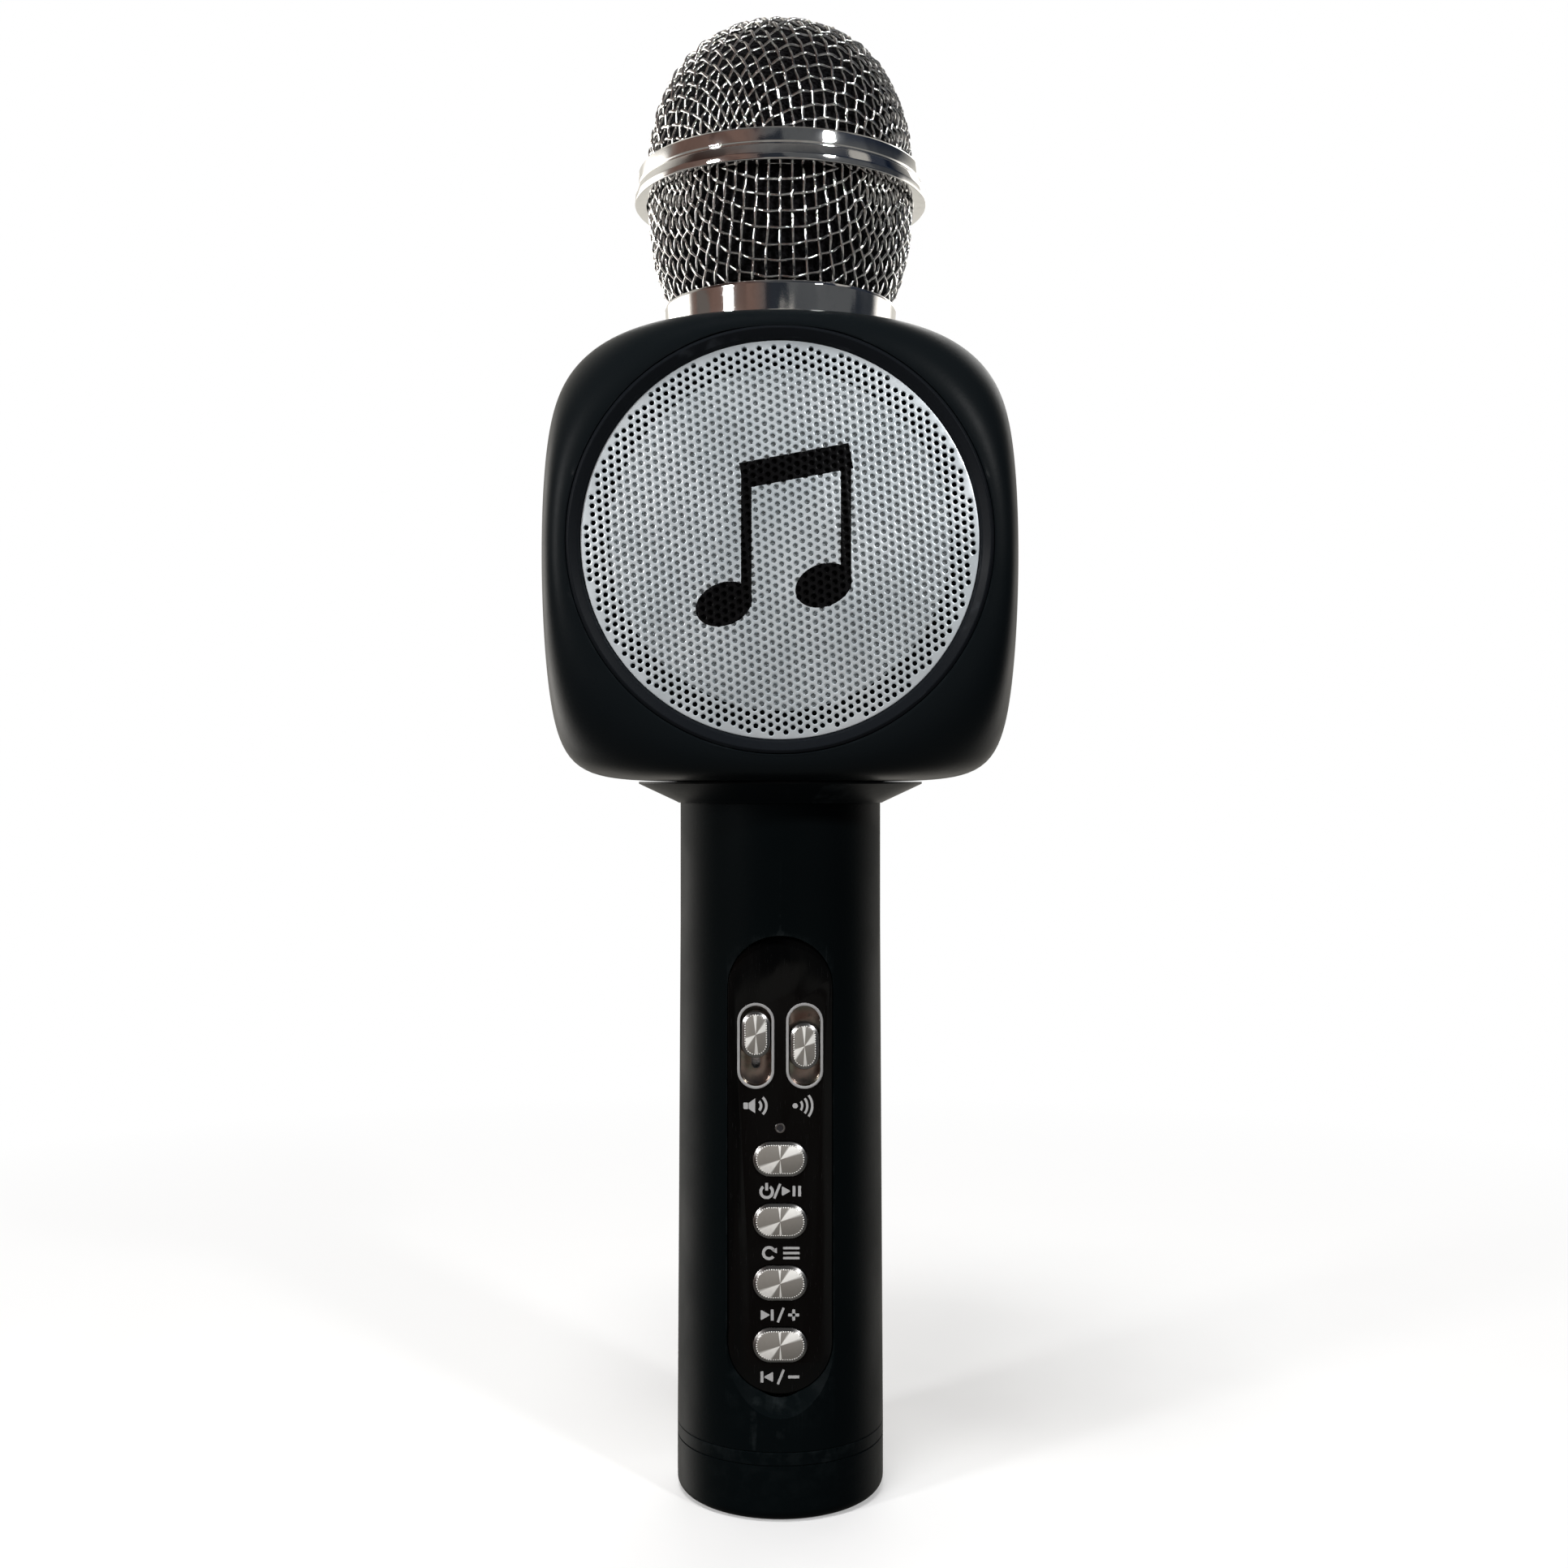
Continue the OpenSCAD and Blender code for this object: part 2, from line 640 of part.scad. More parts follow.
module switch_bodies() color("#1e1e20") facing_front(z = panel_z) at_buttons() difference() {
    between(board_front, switch_front) square(4.6, center = true);
    between(board_front + 0.4, 13) circle(1.2);
}

module indicator_lens() color("lightcyan") facing_front(z = indicator_z)
    between(board_front, panel_depth - 0.05) circle(0.82);

module panel_screws() color("gray") for (z = panel_screw_z) translate([0, -chassis_back, z])
    rotate([-90, 0, 0]) screw(0.8, 6.8, 1.7, 1);

// ---- base ----

module base_cap() color("#171a1e") difference() {
    union() {
        rotate_extrude() polygon(concat(
            [[0, 0]],
            [for (angle = [0 : 15 : 90])
                [base_r - base_edge_r + base_edge_r * sin(angle), base_edge_r - base_edge_r * cos(angle)]],
            [[base_r, base_h - 2.4], [base_r - 0.15, base_h - 2.25], [base_r, base_h - 2.1],
             [base_r, base_h], [handle_bore_r - 0.1, base_h], [handle_bore_r - 0.1, base_h + 2.6],
             [14.3, base_h + 2.6], [14.3, 10], [15.7, 8.6], [15.7, 2.2], [0, 2.2]]
        ));
        for (x = [-1, 1]) translate([x * 12.3 - 1.2, port_board_y - 1.6, 2]) cube([2.4, 4.4, 7]);
    }
    translate([-13, port_board_y - gap, 2.25]) cube([26, 1.3, 16]);
    translate([jack_at[0], jack_at[1], 0]) disc(2.95, -1, 3);
    translate([usb_at[0], usb_at[1], 0]) linear_extrude(5, center = true) square([7.7, 2.9], center = true);
    translate([0, card_y, 0]) linear_extrude(5, center = true) square([11.6, 1.4], center = true);
    for (y = [-1, 1]) translate([0, y * base_screw_y, 0]) {
        disc(1.1, -1, 4);
        disc(2.1, -1, 1.2);
    }
}

module base_screws() color("gray") for (y = [-1, 1]) translate([0, y * base_screw_y, 1.2])
    rotate([180, 0, 0]) screw(1, 18, 2, 1);

module port_board() color("darkgreen") translate([-12.8, port_board_y, 2.4]) cube([25.6, 1.2, 13.8]);

module usb_port() color("silver") translate([usb_at[0], usb_at[1], 0]) {
    linear_extrude(6) difference() {
        square([7.5, 2.8], center = true);
        square([6.9, 2.2], center = true);
    }
    translate([0, 0, 5.6]) linear_extrude(0.5) square([7.2, 2.5], center = true);
    translate([0, 0.3, 0.9]) linear_extrude(5) square([3.6, 0.6], center = true);
}

module audio_jack() color("#1b1b1d") translate([jack_at[0], jack_at[1], 0]) difference() {
    union() {
        disc(2.9, 0, 3);
        translate([0, 0, 2.3]) linear_extrude(12.5) square([6.4, 6.1], center = true);
    }
    disc(1.8, -1, 14);
}

module card_socket() color("lightgray") translate([0, card_y, 2.3]) linear_extrude(13.4) difference() {
    square([13.6, 1.8], center = true);
    square([11.3, 1.1], center = true);
}

// ---- wiring ----

lead_r = 0.6;
on_board = lead_r + gap;

module capsule_leads() color("firebrick") for (x = [-1, 1]) wire([
    [x, 0, capsule_z], [x, 0, 190], [x * 1.8, 12, 184], [x * 1.8, 12, 160],
    [x * 1.8, board_back + on_board, 156]
], lead_r);

module speaker_leads() color("black") for (turn = [-42, -36]) {
    x = 25.4 * cos(turn);
    z = speaker_z + 25.4 * sin(turn);
    wire([[x, -21, z], [x, -8, z - 5], [x, board_back - board_t - on_board, z - 5]], lead_r);
}

module battery_leads() color("crimson") for (x = [-2, 2]) wire([
    [x, battery_y, battery_z + battery_l + 0.8], [x, 8.4, 98], [x, 8.4, 132],
    [x, board_back + on_board, 136]
], lead_r);

upper_mesh();
lower_mesh();
head_ring();
windscreen_foam();
head_collar();
head_seal();
capsule_holder();
capsule();
head_seat();
housing_front();
housing_rear();
front_grille();
front_trim();
rear_grille();
rear_trim();
speaker_basket();
speaker_magnet();
speaker_cone();
speaker_surround();
dust_cap();
voice_coil();
speaker_gasket();
radiator_frame();
radiator_surround();
radiator_cone();
radiator_weight();
amplifier_board();
housing_screws();
speaker_screws();
neck_ring();
handle_tube();
handle_chassis();
battery();
battery_contacts();
control_panel();
control_board();
volume_tray();
echo_tray();
volume_knob();
echo_knob();
volume_pot();
echo_pot();
volume_wiper();
echo_wiper();
power_button();
mode_button();
next_button();
previous_button();
switch_bodies();
indicator_lens();
panel_screws();
base_cap();
base_screws();
port_board();
usb_port();
audio_jack();
card_socket();
capsule_leads();
speaker_leads();
battery_leads();
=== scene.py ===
"""The looks of the karaoke microphone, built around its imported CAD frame.

Lengths are in millimetres until a mesh is made, which is in metres. A front or rear piece is drawn
with u to its right, v up and its depth as the distance out from the microphone's axis.
"""

import json
from math import atan2, ceil, cos, hypot, pi, radians, sin, sqrt, tan

import bmesh
import bpy
import numpy as np
from mathutils import Matrix, Vector


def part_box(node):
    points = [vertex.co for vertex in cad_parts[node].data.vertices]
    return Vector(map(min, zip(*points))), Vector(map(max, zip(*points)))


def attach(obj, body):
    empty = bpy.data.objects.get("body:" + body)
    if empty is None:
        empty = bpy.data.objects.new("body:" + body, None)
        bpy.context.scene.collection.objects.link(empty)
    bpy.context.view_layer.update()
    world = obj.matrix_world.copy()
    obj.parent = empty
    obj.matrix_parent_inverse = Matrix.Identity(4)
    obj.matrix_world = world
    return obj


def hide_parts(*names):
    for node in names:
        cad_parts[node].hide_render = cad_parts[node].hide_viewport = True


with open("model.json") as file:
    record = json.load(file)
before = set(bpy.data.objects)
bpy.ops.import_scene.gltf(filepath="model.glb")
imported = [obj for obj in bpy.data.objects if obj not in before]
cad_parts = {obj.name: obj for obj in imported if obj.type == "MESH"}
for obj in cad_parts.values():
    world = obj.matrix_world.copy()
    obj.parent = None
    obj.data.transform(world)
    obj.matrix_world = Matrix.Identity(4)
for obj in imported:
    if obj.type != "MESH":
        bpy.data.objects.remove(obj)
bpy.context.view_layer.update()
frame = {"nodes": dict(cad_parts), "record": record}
MM = 0.001
HANDSET = "handset"
HEAD = "head"
FINE = 192  # sides of a large round piece


# ---- sizes, most of them read from the CAD frame ----

def low(node):
    return [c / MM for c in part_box(node)[0]]


def high(node):
    return [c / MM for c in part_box(node)[1]]


def middle(node):
    return [(a + b) / 2 for a, b in zip(low(node), high(node))]


ball_r = high("upper_mesh")[0]
dome_top = high("upper_mesh")[2]
ring_z = middle("head_ring")[2]
ring_r = high("head_ring")[0]
ring_half = high("head_ring")[2] - ring_z
collar_r = high("head_collar")[0]
collar_low = high("head_seal")[2]
collar_high = ring_z - 21.1
speaker_z = middle("housing_front")[2]
half_w = high("housing_front")[0]
half_h = high("housing_front")[2] - speaker_z
housing_depth = -low("housing_front")[1]
housing_low = low("housing_front")[2]
housing_high = high("housing_front")[2]
trim_r = high("front_trim")[0]
grille_r = high("front_grille")[0]
grille_front = -low("front_grille")[1]
base_r = high("base_cap")[0]
neck_r = high("neck_ring")[0]
neck_low = low("neck_ring")[2]
panel_depth = -low("indicator_lens")[1] + 0.05
panel_w = high("control_panel")[0] * 2
panel_l = high("control_panel")[2] - low("control_panel")[2]
panel_z = middle("control_panel")[2]
handle_r = 17.8
handle_bore_r = high("handle_chassis")[0] + 0.15
base_h = low("handle_tube")[2]
taper_top = 100


# ---- outlines ----

def rounded(points, radius, arc=5):
    """A closed outline with its corners rounded. radius is one number, or one for each corner."""
    radii = [radius] * len(points) if isinstance(radius, (int, float)) else radius
    out = []
    for i, corner in enumerate(points):
        p = np.array(corner, float)
        before = np.array(points[i - 1], float) - p
        after = np.array(points[(i + 1) % len(points)], float) - p
        if radii[i] <= 0:
            out.append(tuple(p))
            continue
        len_a, len_b = np.linalg.norm(before), np.linalg.norm(after)
        cosine = np.clip(before @ after / (len_a * len_b), -1, 1)
        half = np.arccos(cosine) / 2
        reach = min(radii[i] / max(tan(half), 1e-6), 0.48 * len_a, 0.48 * len_b)
        start, end = p + before / len_a * reach, p + after / len_b * reach
        for step in range(arc + 1):
            s = step / arc
            out.append(tuple((1 - s) ** 2 * start + 2 * s * (1 - s) * p + s * s * end))
    return out


def stadium(width, height, inset=0, steps=32):
    """An outline with two round ends, the same number of points for every size."""
    r = min(width, height) / 2 - inset
    reach = abs(height - width) / 2
    points = []
    for side in (1, -1):
        for k in range(steps // 2 + 1):
            a = pi * k / (steps // 2)
            x, y = side * r * cos(a), side * (r * sin(a) + reach)
            points.append((x, y) if height >= width else (y, -x))
    return points


def circle(r, steps=48):
    return [(r * cos(2 * pi * k / steps), r * sin(2 * pi * k / steps)) for k in range(steps)]


def oblong(width, height, corner, arc=5):
    """A rectangle about the origin with rounded corners."""
    u, v = width / 2, height / 2
    return rounded([(-u, -v), (u, -v), (u, v), (-u, v)], corner, arc)


# ---- solids, as (points, faces) ----

def lathe(profile, steps=160):
    """A closed outline of (radius, height) turned about the local Z axis."""
    points, faces, rows = [], [], []
    for r, h in profile:
        if abs(r) < 1e-6:
            rows.append([len(points)] * steps)
            points.append((0, 0, h))
        else:
            rows.append(list(range(len(points), len(points) + steps)))
            points += [(x, y, h) for x, y in circle(r, steps)]
    for a, b in zip(rows, rows[1:] + rows[:1]):
        for k in range(steps):
            n = (k + 1) % steps
            face = list(dict.fromkeys((a[k], a[n], b[n], b[k])))
            if len(face) > 2:
                faces.append(face)
    return points, faces


def loft(loops, closed=False):
    """Skins a stack of outlines, each a list of 3-D points, and caps the ends unless it is closed."""
    count = len(loops[0])
    points = [tuple(p) for loop in loops for p in loop]
    rows = [range(i * count, (i + 1) * count) for i in range(len(loops))]
    faces = []
    pairs = list(zip(rows, rows[1:])) + ([(rows[-1], rows[0])] if closed else [])
    for a, b in pairs:
        for k in range(count):
            n = (k + 1) % count
            faces.append((a[k], a[n], b[n], b[k]))
    if not closed:
        faces += [tuple(rows[0]), tuple(rows[-1])]
    return points, faces


def prism(outline, start, end):
    """A flat outline between two depths."""
    return loft([[(x, y, d) for x, y in outline] for d in (start, end)])


def join(*solids):
    points, faces = [], []
    for solid_points, solid_faces in solids:
        base = len(points)
        points += list(solid_points)
        faces += [tuple(i + base for i in face) for face in solid_faces]
    return points, faces


def moved(solid, matrix):
    points, faces = solid
    return [tuple(matrix @ Vector(p)) for p in points], faces


def to_front(u=0, v=0, side=1):
    """Places local (u, v, depth) on the front of the microphone, or on the back for a side of -1."""
    turn = Matrix(((side, 0, 0), (0, 0, -side), (0, 1, 0))).to_4x4()
    return Matrix.Translation((u, 0, v)) @ turn


def to_rear(u=0, v=0):
    return to_front(u, v, -1)


def shift(x=0, y=0, z=0):
    return Matrix.Translation((x, y, z))


# ---- making objects ----

def make(name, solid, material=None, sharp=35, origin=None):
    """A closed, outward-facing mesh object from points in millimetres."""
    points, faces = solid
    origin = Vector(origin or (0, 0, 0))
    mesh = bpy.data.meshes.new(name)
    mesh.from_pydata([(Vector(p) - origin) * MM for p in points], [], faces)
    tidy = bmesh.new()
    tidy.from_mesh(mesh)
    bmesh.ops.recalc_face_normals(tidy, faces=tidy.faces)
    tidy.to_mesh(mesh)
    tidy.free()
    obj = bpy.data.objects.new(name, mesh)
    obj.location = origin * MM
    bpy.context.scene.collection.objects.link(obj)
    shade(obj, sharp)
    if material:
        mesh.materials.append(material)
    return obj


def shade(obj, sharp):
    obj.data.polygons.foreach_set("use_smooth", [True] * len(obj.data.polygons))
    obj.data.set_sharp_from_angle(angle=radians(sharp))


def combine(obj, solids, operation="DIFFERENCE", sharp=35):
    """Cuts closed solids out of an object, or adds them to it, for good."""
    tools = [make("tool", solid) for solid in solids]
    for tool in tools:
        change = obj.modifiers.new("combine", "BOOLEAN")
        change.operation = operation
        change.solver = "EXACT"
        change.object = tool
    bpy.context.view_layer.update()
    evaluated = obj.evaluated_get(bpy.context.evaluated_depsgraph_get())
    mesh = bpy.data.meshes.new_from_object(evaluated)
    obj.modifiers.clear()
    obj.data = mesh
    shade(obj, sharp)
    for tool in tools:
        bpy.data.objects.remove(tool)


def piece(name, solid, body, slot, *nodes, look=None, sharp=35, origin=None):
    """A finished piece, in its slot's material unless another is given."""
    return belongs(make(name, solid, look or LOOKS[slot], sharp, origin), body, slot, *nodes)


def belongs(obj, body, slot, *nodes):
    """The piece rides on a body and stands for CAD nodes, which are hidden; the slot is not used."""
    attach(obj, body)
    if nodes:
        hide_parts(*nodes)
    return obj


# ---- materials ----

class Shading:
    """A node tree and ways to add to it. A value is a number, a colour or another node's socket."""

    def __init__(self, tree):
        self.tree = tree
        self.coords = self.node("TexCoord")

    def link(self, source, target):
        self.tree.links.new(source, target)

    def node(self, kind, inputs=None, **settings):
        made = self.tree.nodes.new("ShaderNode" + kind)
        for key, value in settings.items():
            setattr(made, key, value)
        for key, value in (inputs or {}).items():
            if isinstance(value, bpy.types.NodeSocket):
                self.link(value, made.inputs[key])
            else:
                made.inputs[key].default_value = value
        return made

    def axes(self, vector):
        return self.node("SeparateXYZ", {0: vector}).outputs

    def math(self, operation, a, b=0.0):
        return self.node("Math", {0: a, 1: b}, operation=operation).outputs[0]

    def length(self, x, z):
        squares = [self.math("POWER", side, 2) for side in (x, z)]
        return self.math("SQRT", self.math("ADD", *squares))

    def waves(self, value, pitch):
        return self.math("SINE", self.math("MULTIPLY", value, 2 * pi / pitch))

    def span(self, value, low_in, high_in, low_out, high_out, curve="LINEAR"):
        """Maps a value from one range to another, clamped."""
        inputs = {"Value": value, "From Min": low_in, "From Max": high_in,
                  "To Min": low_out, "To Max": high_out}
        return self.node("MapRange", inputs, interpolation_type=curve).outputs[0]

    def mix(self, factor, a, b):
        """A blend of two colours."""
        a, b = [(*value, 1) if isinstance(value, tuple) else value for value in (a, b)]
        return self.node("Mix", {"Factor": factor, "A": a, "B": b}, data_type="RGBA").outputs["Result"]


class Look(Shading):
    """A procedural material: a Principled shader and a few ways to vary it."""

    def __init__(self, name, colour, roughness=0.5, metallic=0.0, **sockets):
        self.material = bpy.data.materials.new(name)
        self.material.use_nodes = True
        super().__init__(self.material.node_tree)
        self.shader = self.tree.nodes["Principled BSDF"]
        self.shader.inputs["Base Color"].default_value = (*colour, 1)
        self.shader.inputs["Roughness"].default_value = roughness
        self.shader.inputs["Metallic"].default_value = metallic
        for socket, value in sockets.items():
            self.shader.inputs[socket.replace("_", " ")].default_value = value
        self.colour = colour
        self.height = None

    def place(self, scale=1.0):
        """The object's coordinates in millimetres, times a scale."""
        size = (scale,) * 3 if isinstance(scale, (int, float)) else scale
        inputs = {"Scale": [s / MM for s in size], "Vector": self.coords.outputs["Object"]}
        return self.node("Mapping", inputs).outputs[0]

    def noise(self, scale, detail=3.0, rough=0.55, distortion=0.0):
        """Noise whose features are about 1/scale millimetres across."""
        inputs = {"Vector": self.place(scale), "Scale": 1.0, "Detail": detail,
                  "Roughness": rough, "Distortion": distortion}
        return self.node("TexNoise", inputs).outputs[0]

    def cells(self, scale):
        return self.node("TexVoronoi", {"Vector": self.place(scale), "Scale": 1.0}).outputs["Distance"]

    def rough(self, value, low_out, high_out):
        """Roughness that follows a noise from low_out to high_out."""
        self.link(self.span(value, 0.35, 0.65, low_out, high_out), self.shader.inputs["Roughness"])

    def tint(self, amount, colour):
        """Mixes a colour over what is there by amount, a socket from 0 to 1."""
        self.colour = self.mix(amount, self.colour, colour)
        self.link(self.colour, self.shader.inputs["Base Color"])

    def patches(self, noise, start, end, amount, colour):
        """Tints by up to amount, where a noise rises from start to end."""
        self.tint(self.span(self.noise(*noise), start, end, 0, amount), colour)

    def bump(self, value, depth):
        """Adds a height of depth millimetres."""
        made = self.node("Bump", {"Distance": depth * MM, "Height": value})
        if self.height is not None:
            self.link(self.height, made.inputs["Normal"])
        self.height = made.outputs[0]
        self.link(self.height, self.shader.inputs["Normal"])

    def worn(self, amount):
        """A mask of the convex edges, broken up by noise."""
        edges = self.span(self.node("NewGeometry").outputs["Pointiness"], 0.52, 0.6, 0, 1)
        patches = self.span(self.noise(0.4, 4), 0.45, 0.7, 0, amount)
        return self.math("MULTIPLY", edges, patches)


def toned(colour, factor, lift=0.0):
    """A colour made darker by a factor below 1, or brighter and paler."""
    return tuple(min(1, c * factor + lift) for c in colour)


def chrome(name, tint=(0.86, 0.86, 0.85), rough=(0.03, 0.09), ripple=0.004):
    look = Look(name, tint, metallic=1.0)
    look.rough(look.noise(0.15, 5), *rough)
    look.patches((0.6, 4), 0.5, 0.75, 0.35, toned(tint, 0.77))
    look.bump(look.noise(0.25, 2), ripple * 4)
    look.bump(look.noise(6, 3), ripple)
    return look.material


def facets_painted_glint():
    """Crumbs of metal along the edge of a cap, given a painted glint: a near-white, barely metallic colour
    that stands in for the light the cuts catch.
    """
    look = Look("facets", (1.0, 0.99, 0.95), 0.3, 0.1)
    look.rough(look.noise(2, 3), 0.14, 0.3)
    look.patches((1.5, 3), 0.5, 0.7, 0.5, (0.5, 0.49, 0.47))
    look.bump(look.noise(6, 2), 0.004)
    return look.material


def tray_mirror():
    """Dark polished metal with a warm and an olive cast."""
    look = Look("tray_mirror", (0.3, 0.24, 0.21), metallic=1.0)
    look.rough(look.noise(0.3, 4), 0.18, 0.27)
    look.patches((0.22, 3), 0.42, 0.58, 1, (0.23, 0.23, 0.19))
    look.patches((0.9, 4), 0.56, 0.7, 0.6, (0.1, 0.11, 0.1))
    look.bump(look.noise(0.5, 2), 0.01)
    return look.material


def wire_chrome():
    look = Look("wire_chrome", (0.86, 0.86, 0.85), metallic=1.0)
    look.rough(look.noise(0.8, 4), 0.05, 0.2)
    look.patches((1.5, 3), 0.45, 0.7, 0.8, (0.46, 0.455, 0.45))
    look.bump(look.noise(3, 3), 0.03)
    return look.material


def spun_chrome_painted_highlight():
    """A spun metal face: fine rings round its middle, and painted highlights: two bright wedges, one broad
    and one narrow and upright, painted into its colour where light off such rings would fall.
    """
    look = Look("spun_chrome_painted_highlight", (0.245, 0.23, 0.208), 0.32, 0.2, Anisotropic=0.5)
    tangent = look.node("Tangent", direction_type="RADIAL", axis="Y")
    look.link(tangent.outputs[0], look.shader.inputs["Tangent"])
    x, _, z = look.axes(look.place())
    angle = look.math("ARCTAN2", z, x)

    def highlight_wedge(turn, tightness):
        facing = look.math("COSINE", look.math("SUBTRACT", angle, radians(turn)))
        return look.math("POWER", look.math("ABSOLUTE", facing), tightness)

    # painted highlights: a broad bright wedge through the upper right and lower left, and a narrow upright
    # one, both painted into the base colour
    look.tint(look.span(highlight_wedge(37, 15), 0.3, 0.62, 0, 1), (1.0, 0.99, 0.95))
    look.tint(look.span(highlight_wedge(92, 160), 0.3, 0.7, 0, 0.9), (1.0, 0.99, 0.95))
    rings = look.waves(look.length(x, z), 0.16)
    look.tint(look.span(rings, -1, 1, 0, 0.12), (0.3, 0.29, 0.27))
    look.patches((1.2, 3), 0.5, 0.75, 0.12, (0.35, 0.33, 0.31))
    look.bump(rings, 0.002)
    return look.material


def painted(name, colour, rough, grain, shine):
    """Sprayed paint: a faint orange peel, uneven gloss, scuffs on the edges and fine dust."""
    look = Look(name, colour, Specular_IOR_Level=shine)
    look.rough(look.noise(0.05, 5), rough - 0.05, rough + 0.07)
    look.tint(look.worn(0.5), toned(colour, 3, 0.012))
    dust = look.span(look.noise(2.4, 6, 0.7), 0.66, 0.8, 0, 0.25)
    look.tint(dust, toned(colour, 3, 0.006))
    look.bump(look.noise(1.6, 2), grain)
    look.bump(look.noise(14, 2), grain * 0.2)
    return look.material


def gloss_panel():
    look = Look("panel_gloss", (0.0016, 0.0017, 0.0017), Specular_IOR_Level=0.16)
    smears = look.noise((0.12, 0.12, 0.03), 5, 0.6, 1.5)
    look.rough(smears, 0.1, 0.26)
    scratches = look.span(look.noise((9, 9, 0.4), 2), 0.68, 0.74, 0, 1)
    look.tint(look.math("MULTIPLY", scratches, 0.2), (0.04, 0.04, 0.042))
    look.bump(look.noise(0.08, 2), 0.03)
    look.bump(scratches, 0.002)
    return look.material


def foam_look():
    look = Look("foam", (0.003, 0.003, 0.0035), 0.95, Specular_IOR_Level=0.1)
    pores = look.cells(1.5)
    look.tint(look.span(pores, 0.2, 0.8, 0, 1), (0.009, 0.009, 0.01))
    look.bump(pores, 0.5)
    look.bump(look.noise(5, 4), 0.12)
    return look.material


def ink_look(name, colour):
    look = Look(name, colour, 0.5)
    look.rough(look.noise(2, 3), 0.42, 0.6)
    look.patches((3, 5, 0.7), 0.5, 0.75, 0.5, toned(colour, 0.7))
    look.bump(look.noise(8, 2), 0.004)
    return look.material


def plastic(name, colour, rough=0.45, grain=0.012):
    """Moulded plastic with a fine spark-eroded grain."""
    look = Look(name, colour)
    look.rough(look.noise(0.3, 4), rough - 0.06, rough + 0.08)
    look.tint(look.worn(0.4), toned(colour, 2, 0.03))
    look.bump(look.noise(5, 3, 0.6), grain)
    return look.material


def steel(name, colour=(0.55, 0.55, 0.56), rough=0.3):
    look = Look(name, colour, metallic=1.0)
    look.rough(look.noise(0.7, 5), rough - 0.08, rough + 0.12)
    look.patches((0.9, 4), 0.55, 0.75, 0.5, toned(colour, 0.6))
    look.bump(look.noise((2, 2, 14), 2), 0.01)
    return look.material


def rubber():
    look = Look("rubber", (0.012, 0.012, 0.012), 0.7)
    look.rough(look.noise(0.8, 4), 0.6, 0.82)
    look.bump(look.noise(4, 4), 0.02)
    return look.material


def board():
    look = Look("circuit_board", (0.012, 0.09, 0.035), 0.35, Coat_Weight=0.3)
    tracks = look.node("TexBrick", {"Vector": look.place(0.35), "Scale": 1.0, "Mortar Size": 0.06})
    look.tint(look.math("MULTIPLY", tracks.outputs["Fac"], 0.8), (0.03, 0.2, 0.08))
    look.bump(tracks.outputs["Fac"], 0.03)
    look.rough(look.noise(0.7, 3), 0.3, 0.5)
    return look.material


def emblem_mask(look):
    """1 inside a pair of beamed quavers round the speaker's axis, and 0 outside."""
    def shape(kind, u, v, half_u, half_v, turn=0.0):
        inputs = {"Location": (u * MM, 0, (speaker_z + v) * MM), "Rotation": (0, -radians(turn), 0),
                  "Scale": (half_u * MM, 1, half_v * MM), "Vector": look.coords.outputs["Object"]}
        x, _, z = look.axes(look.node("Mapping", inputs, vector_type="TEXTURE").outputs[0])
        if kind == "ellipse":
            reach = look.length(x, z)
        else:
            reach = look.math("MAXIMUM", look.math("ABSOLUTE", x), look.math("ABSOLUTE", z))
        return look.math("LESS_THAN", reach, 1.0)

    left, right, slope = -5.4, 10.6, 3.0
    mask = shape("box", (left + right) / 2, 10.2 + slope / 2, 8.95, 2.1, 10.6)
    for stem, rise in ((left, 0.0), (right, slope)):
        mask = look.math("MAXIMUM", mask, shape("box", stem, rise, 0.85, 11.0))
        mask = look.math("MAXIMUM", mask, shape("ellipse", stem - 3.6, rise - 10.5, 4.7, 3.4, 22))
    return mask


def cloth(name, printed):
    """A woven scrim: two sets of threads crossing, and the ink that went through to it."""
    look = Look(name, (0.5, 0.53, 0.54), 0.9, Specular_IOR_Level=0.2)
    x, _, z = look.axes(look.place())
    weave = look.math("MULTIPLY", look.waves(x, 0.45), look.waves(z, 0.45))
    look.tint(look.span(weave, -1, 1, 0, 0.5), (0.3, 0.32, 0.33))
    if printed:
        look.tint(emblem_mask(look), (0.004, 0.004, 0.0045))
    look.bump(weave, 0.05)
    return look.material


def clear_lens():
    look = Look("lens", (0.02, 0.022, 0.025), 0.1, Coat_Weight=0.5)
    look.rough(look.noise(2, 3), 0.08, 0.2)
    look.bump(look.noise(2, 2), 0.01)
    return look.material


def grille_look(name, printed):
    """Silver-blue painted sheet with fine metallic flake."""
    look = Look(name, (0.66, 0.72, 0.755), metallic=0.45, Specular_IOR_Level=0.25)
    look.rough(look.noise(0.1, 4), 0.3, 0.4)
    flake = look.span(look.cells(9), 0.1, 0.5, 0, 0.22)
    look.tint(flake, (0.45, 0.5, 0.53))
    look.patches((0.06, 3), 0.42, 0.62, 0.5, (0.84, 0.89, 0.92))
    if printed:
        worn_off = look.span(look.noise(3, 5, 0.7), 0.3, 0.36, 0.9, 1)
        look.tint(look.math("MULTIPLY", emblem_mask(look), worn_off), (0.004, 0.004, 0.0045))
    look.bump(look.noise(4, 3), 0.01)
    look.bump(look.cells(9), 0.003)
    return look.material


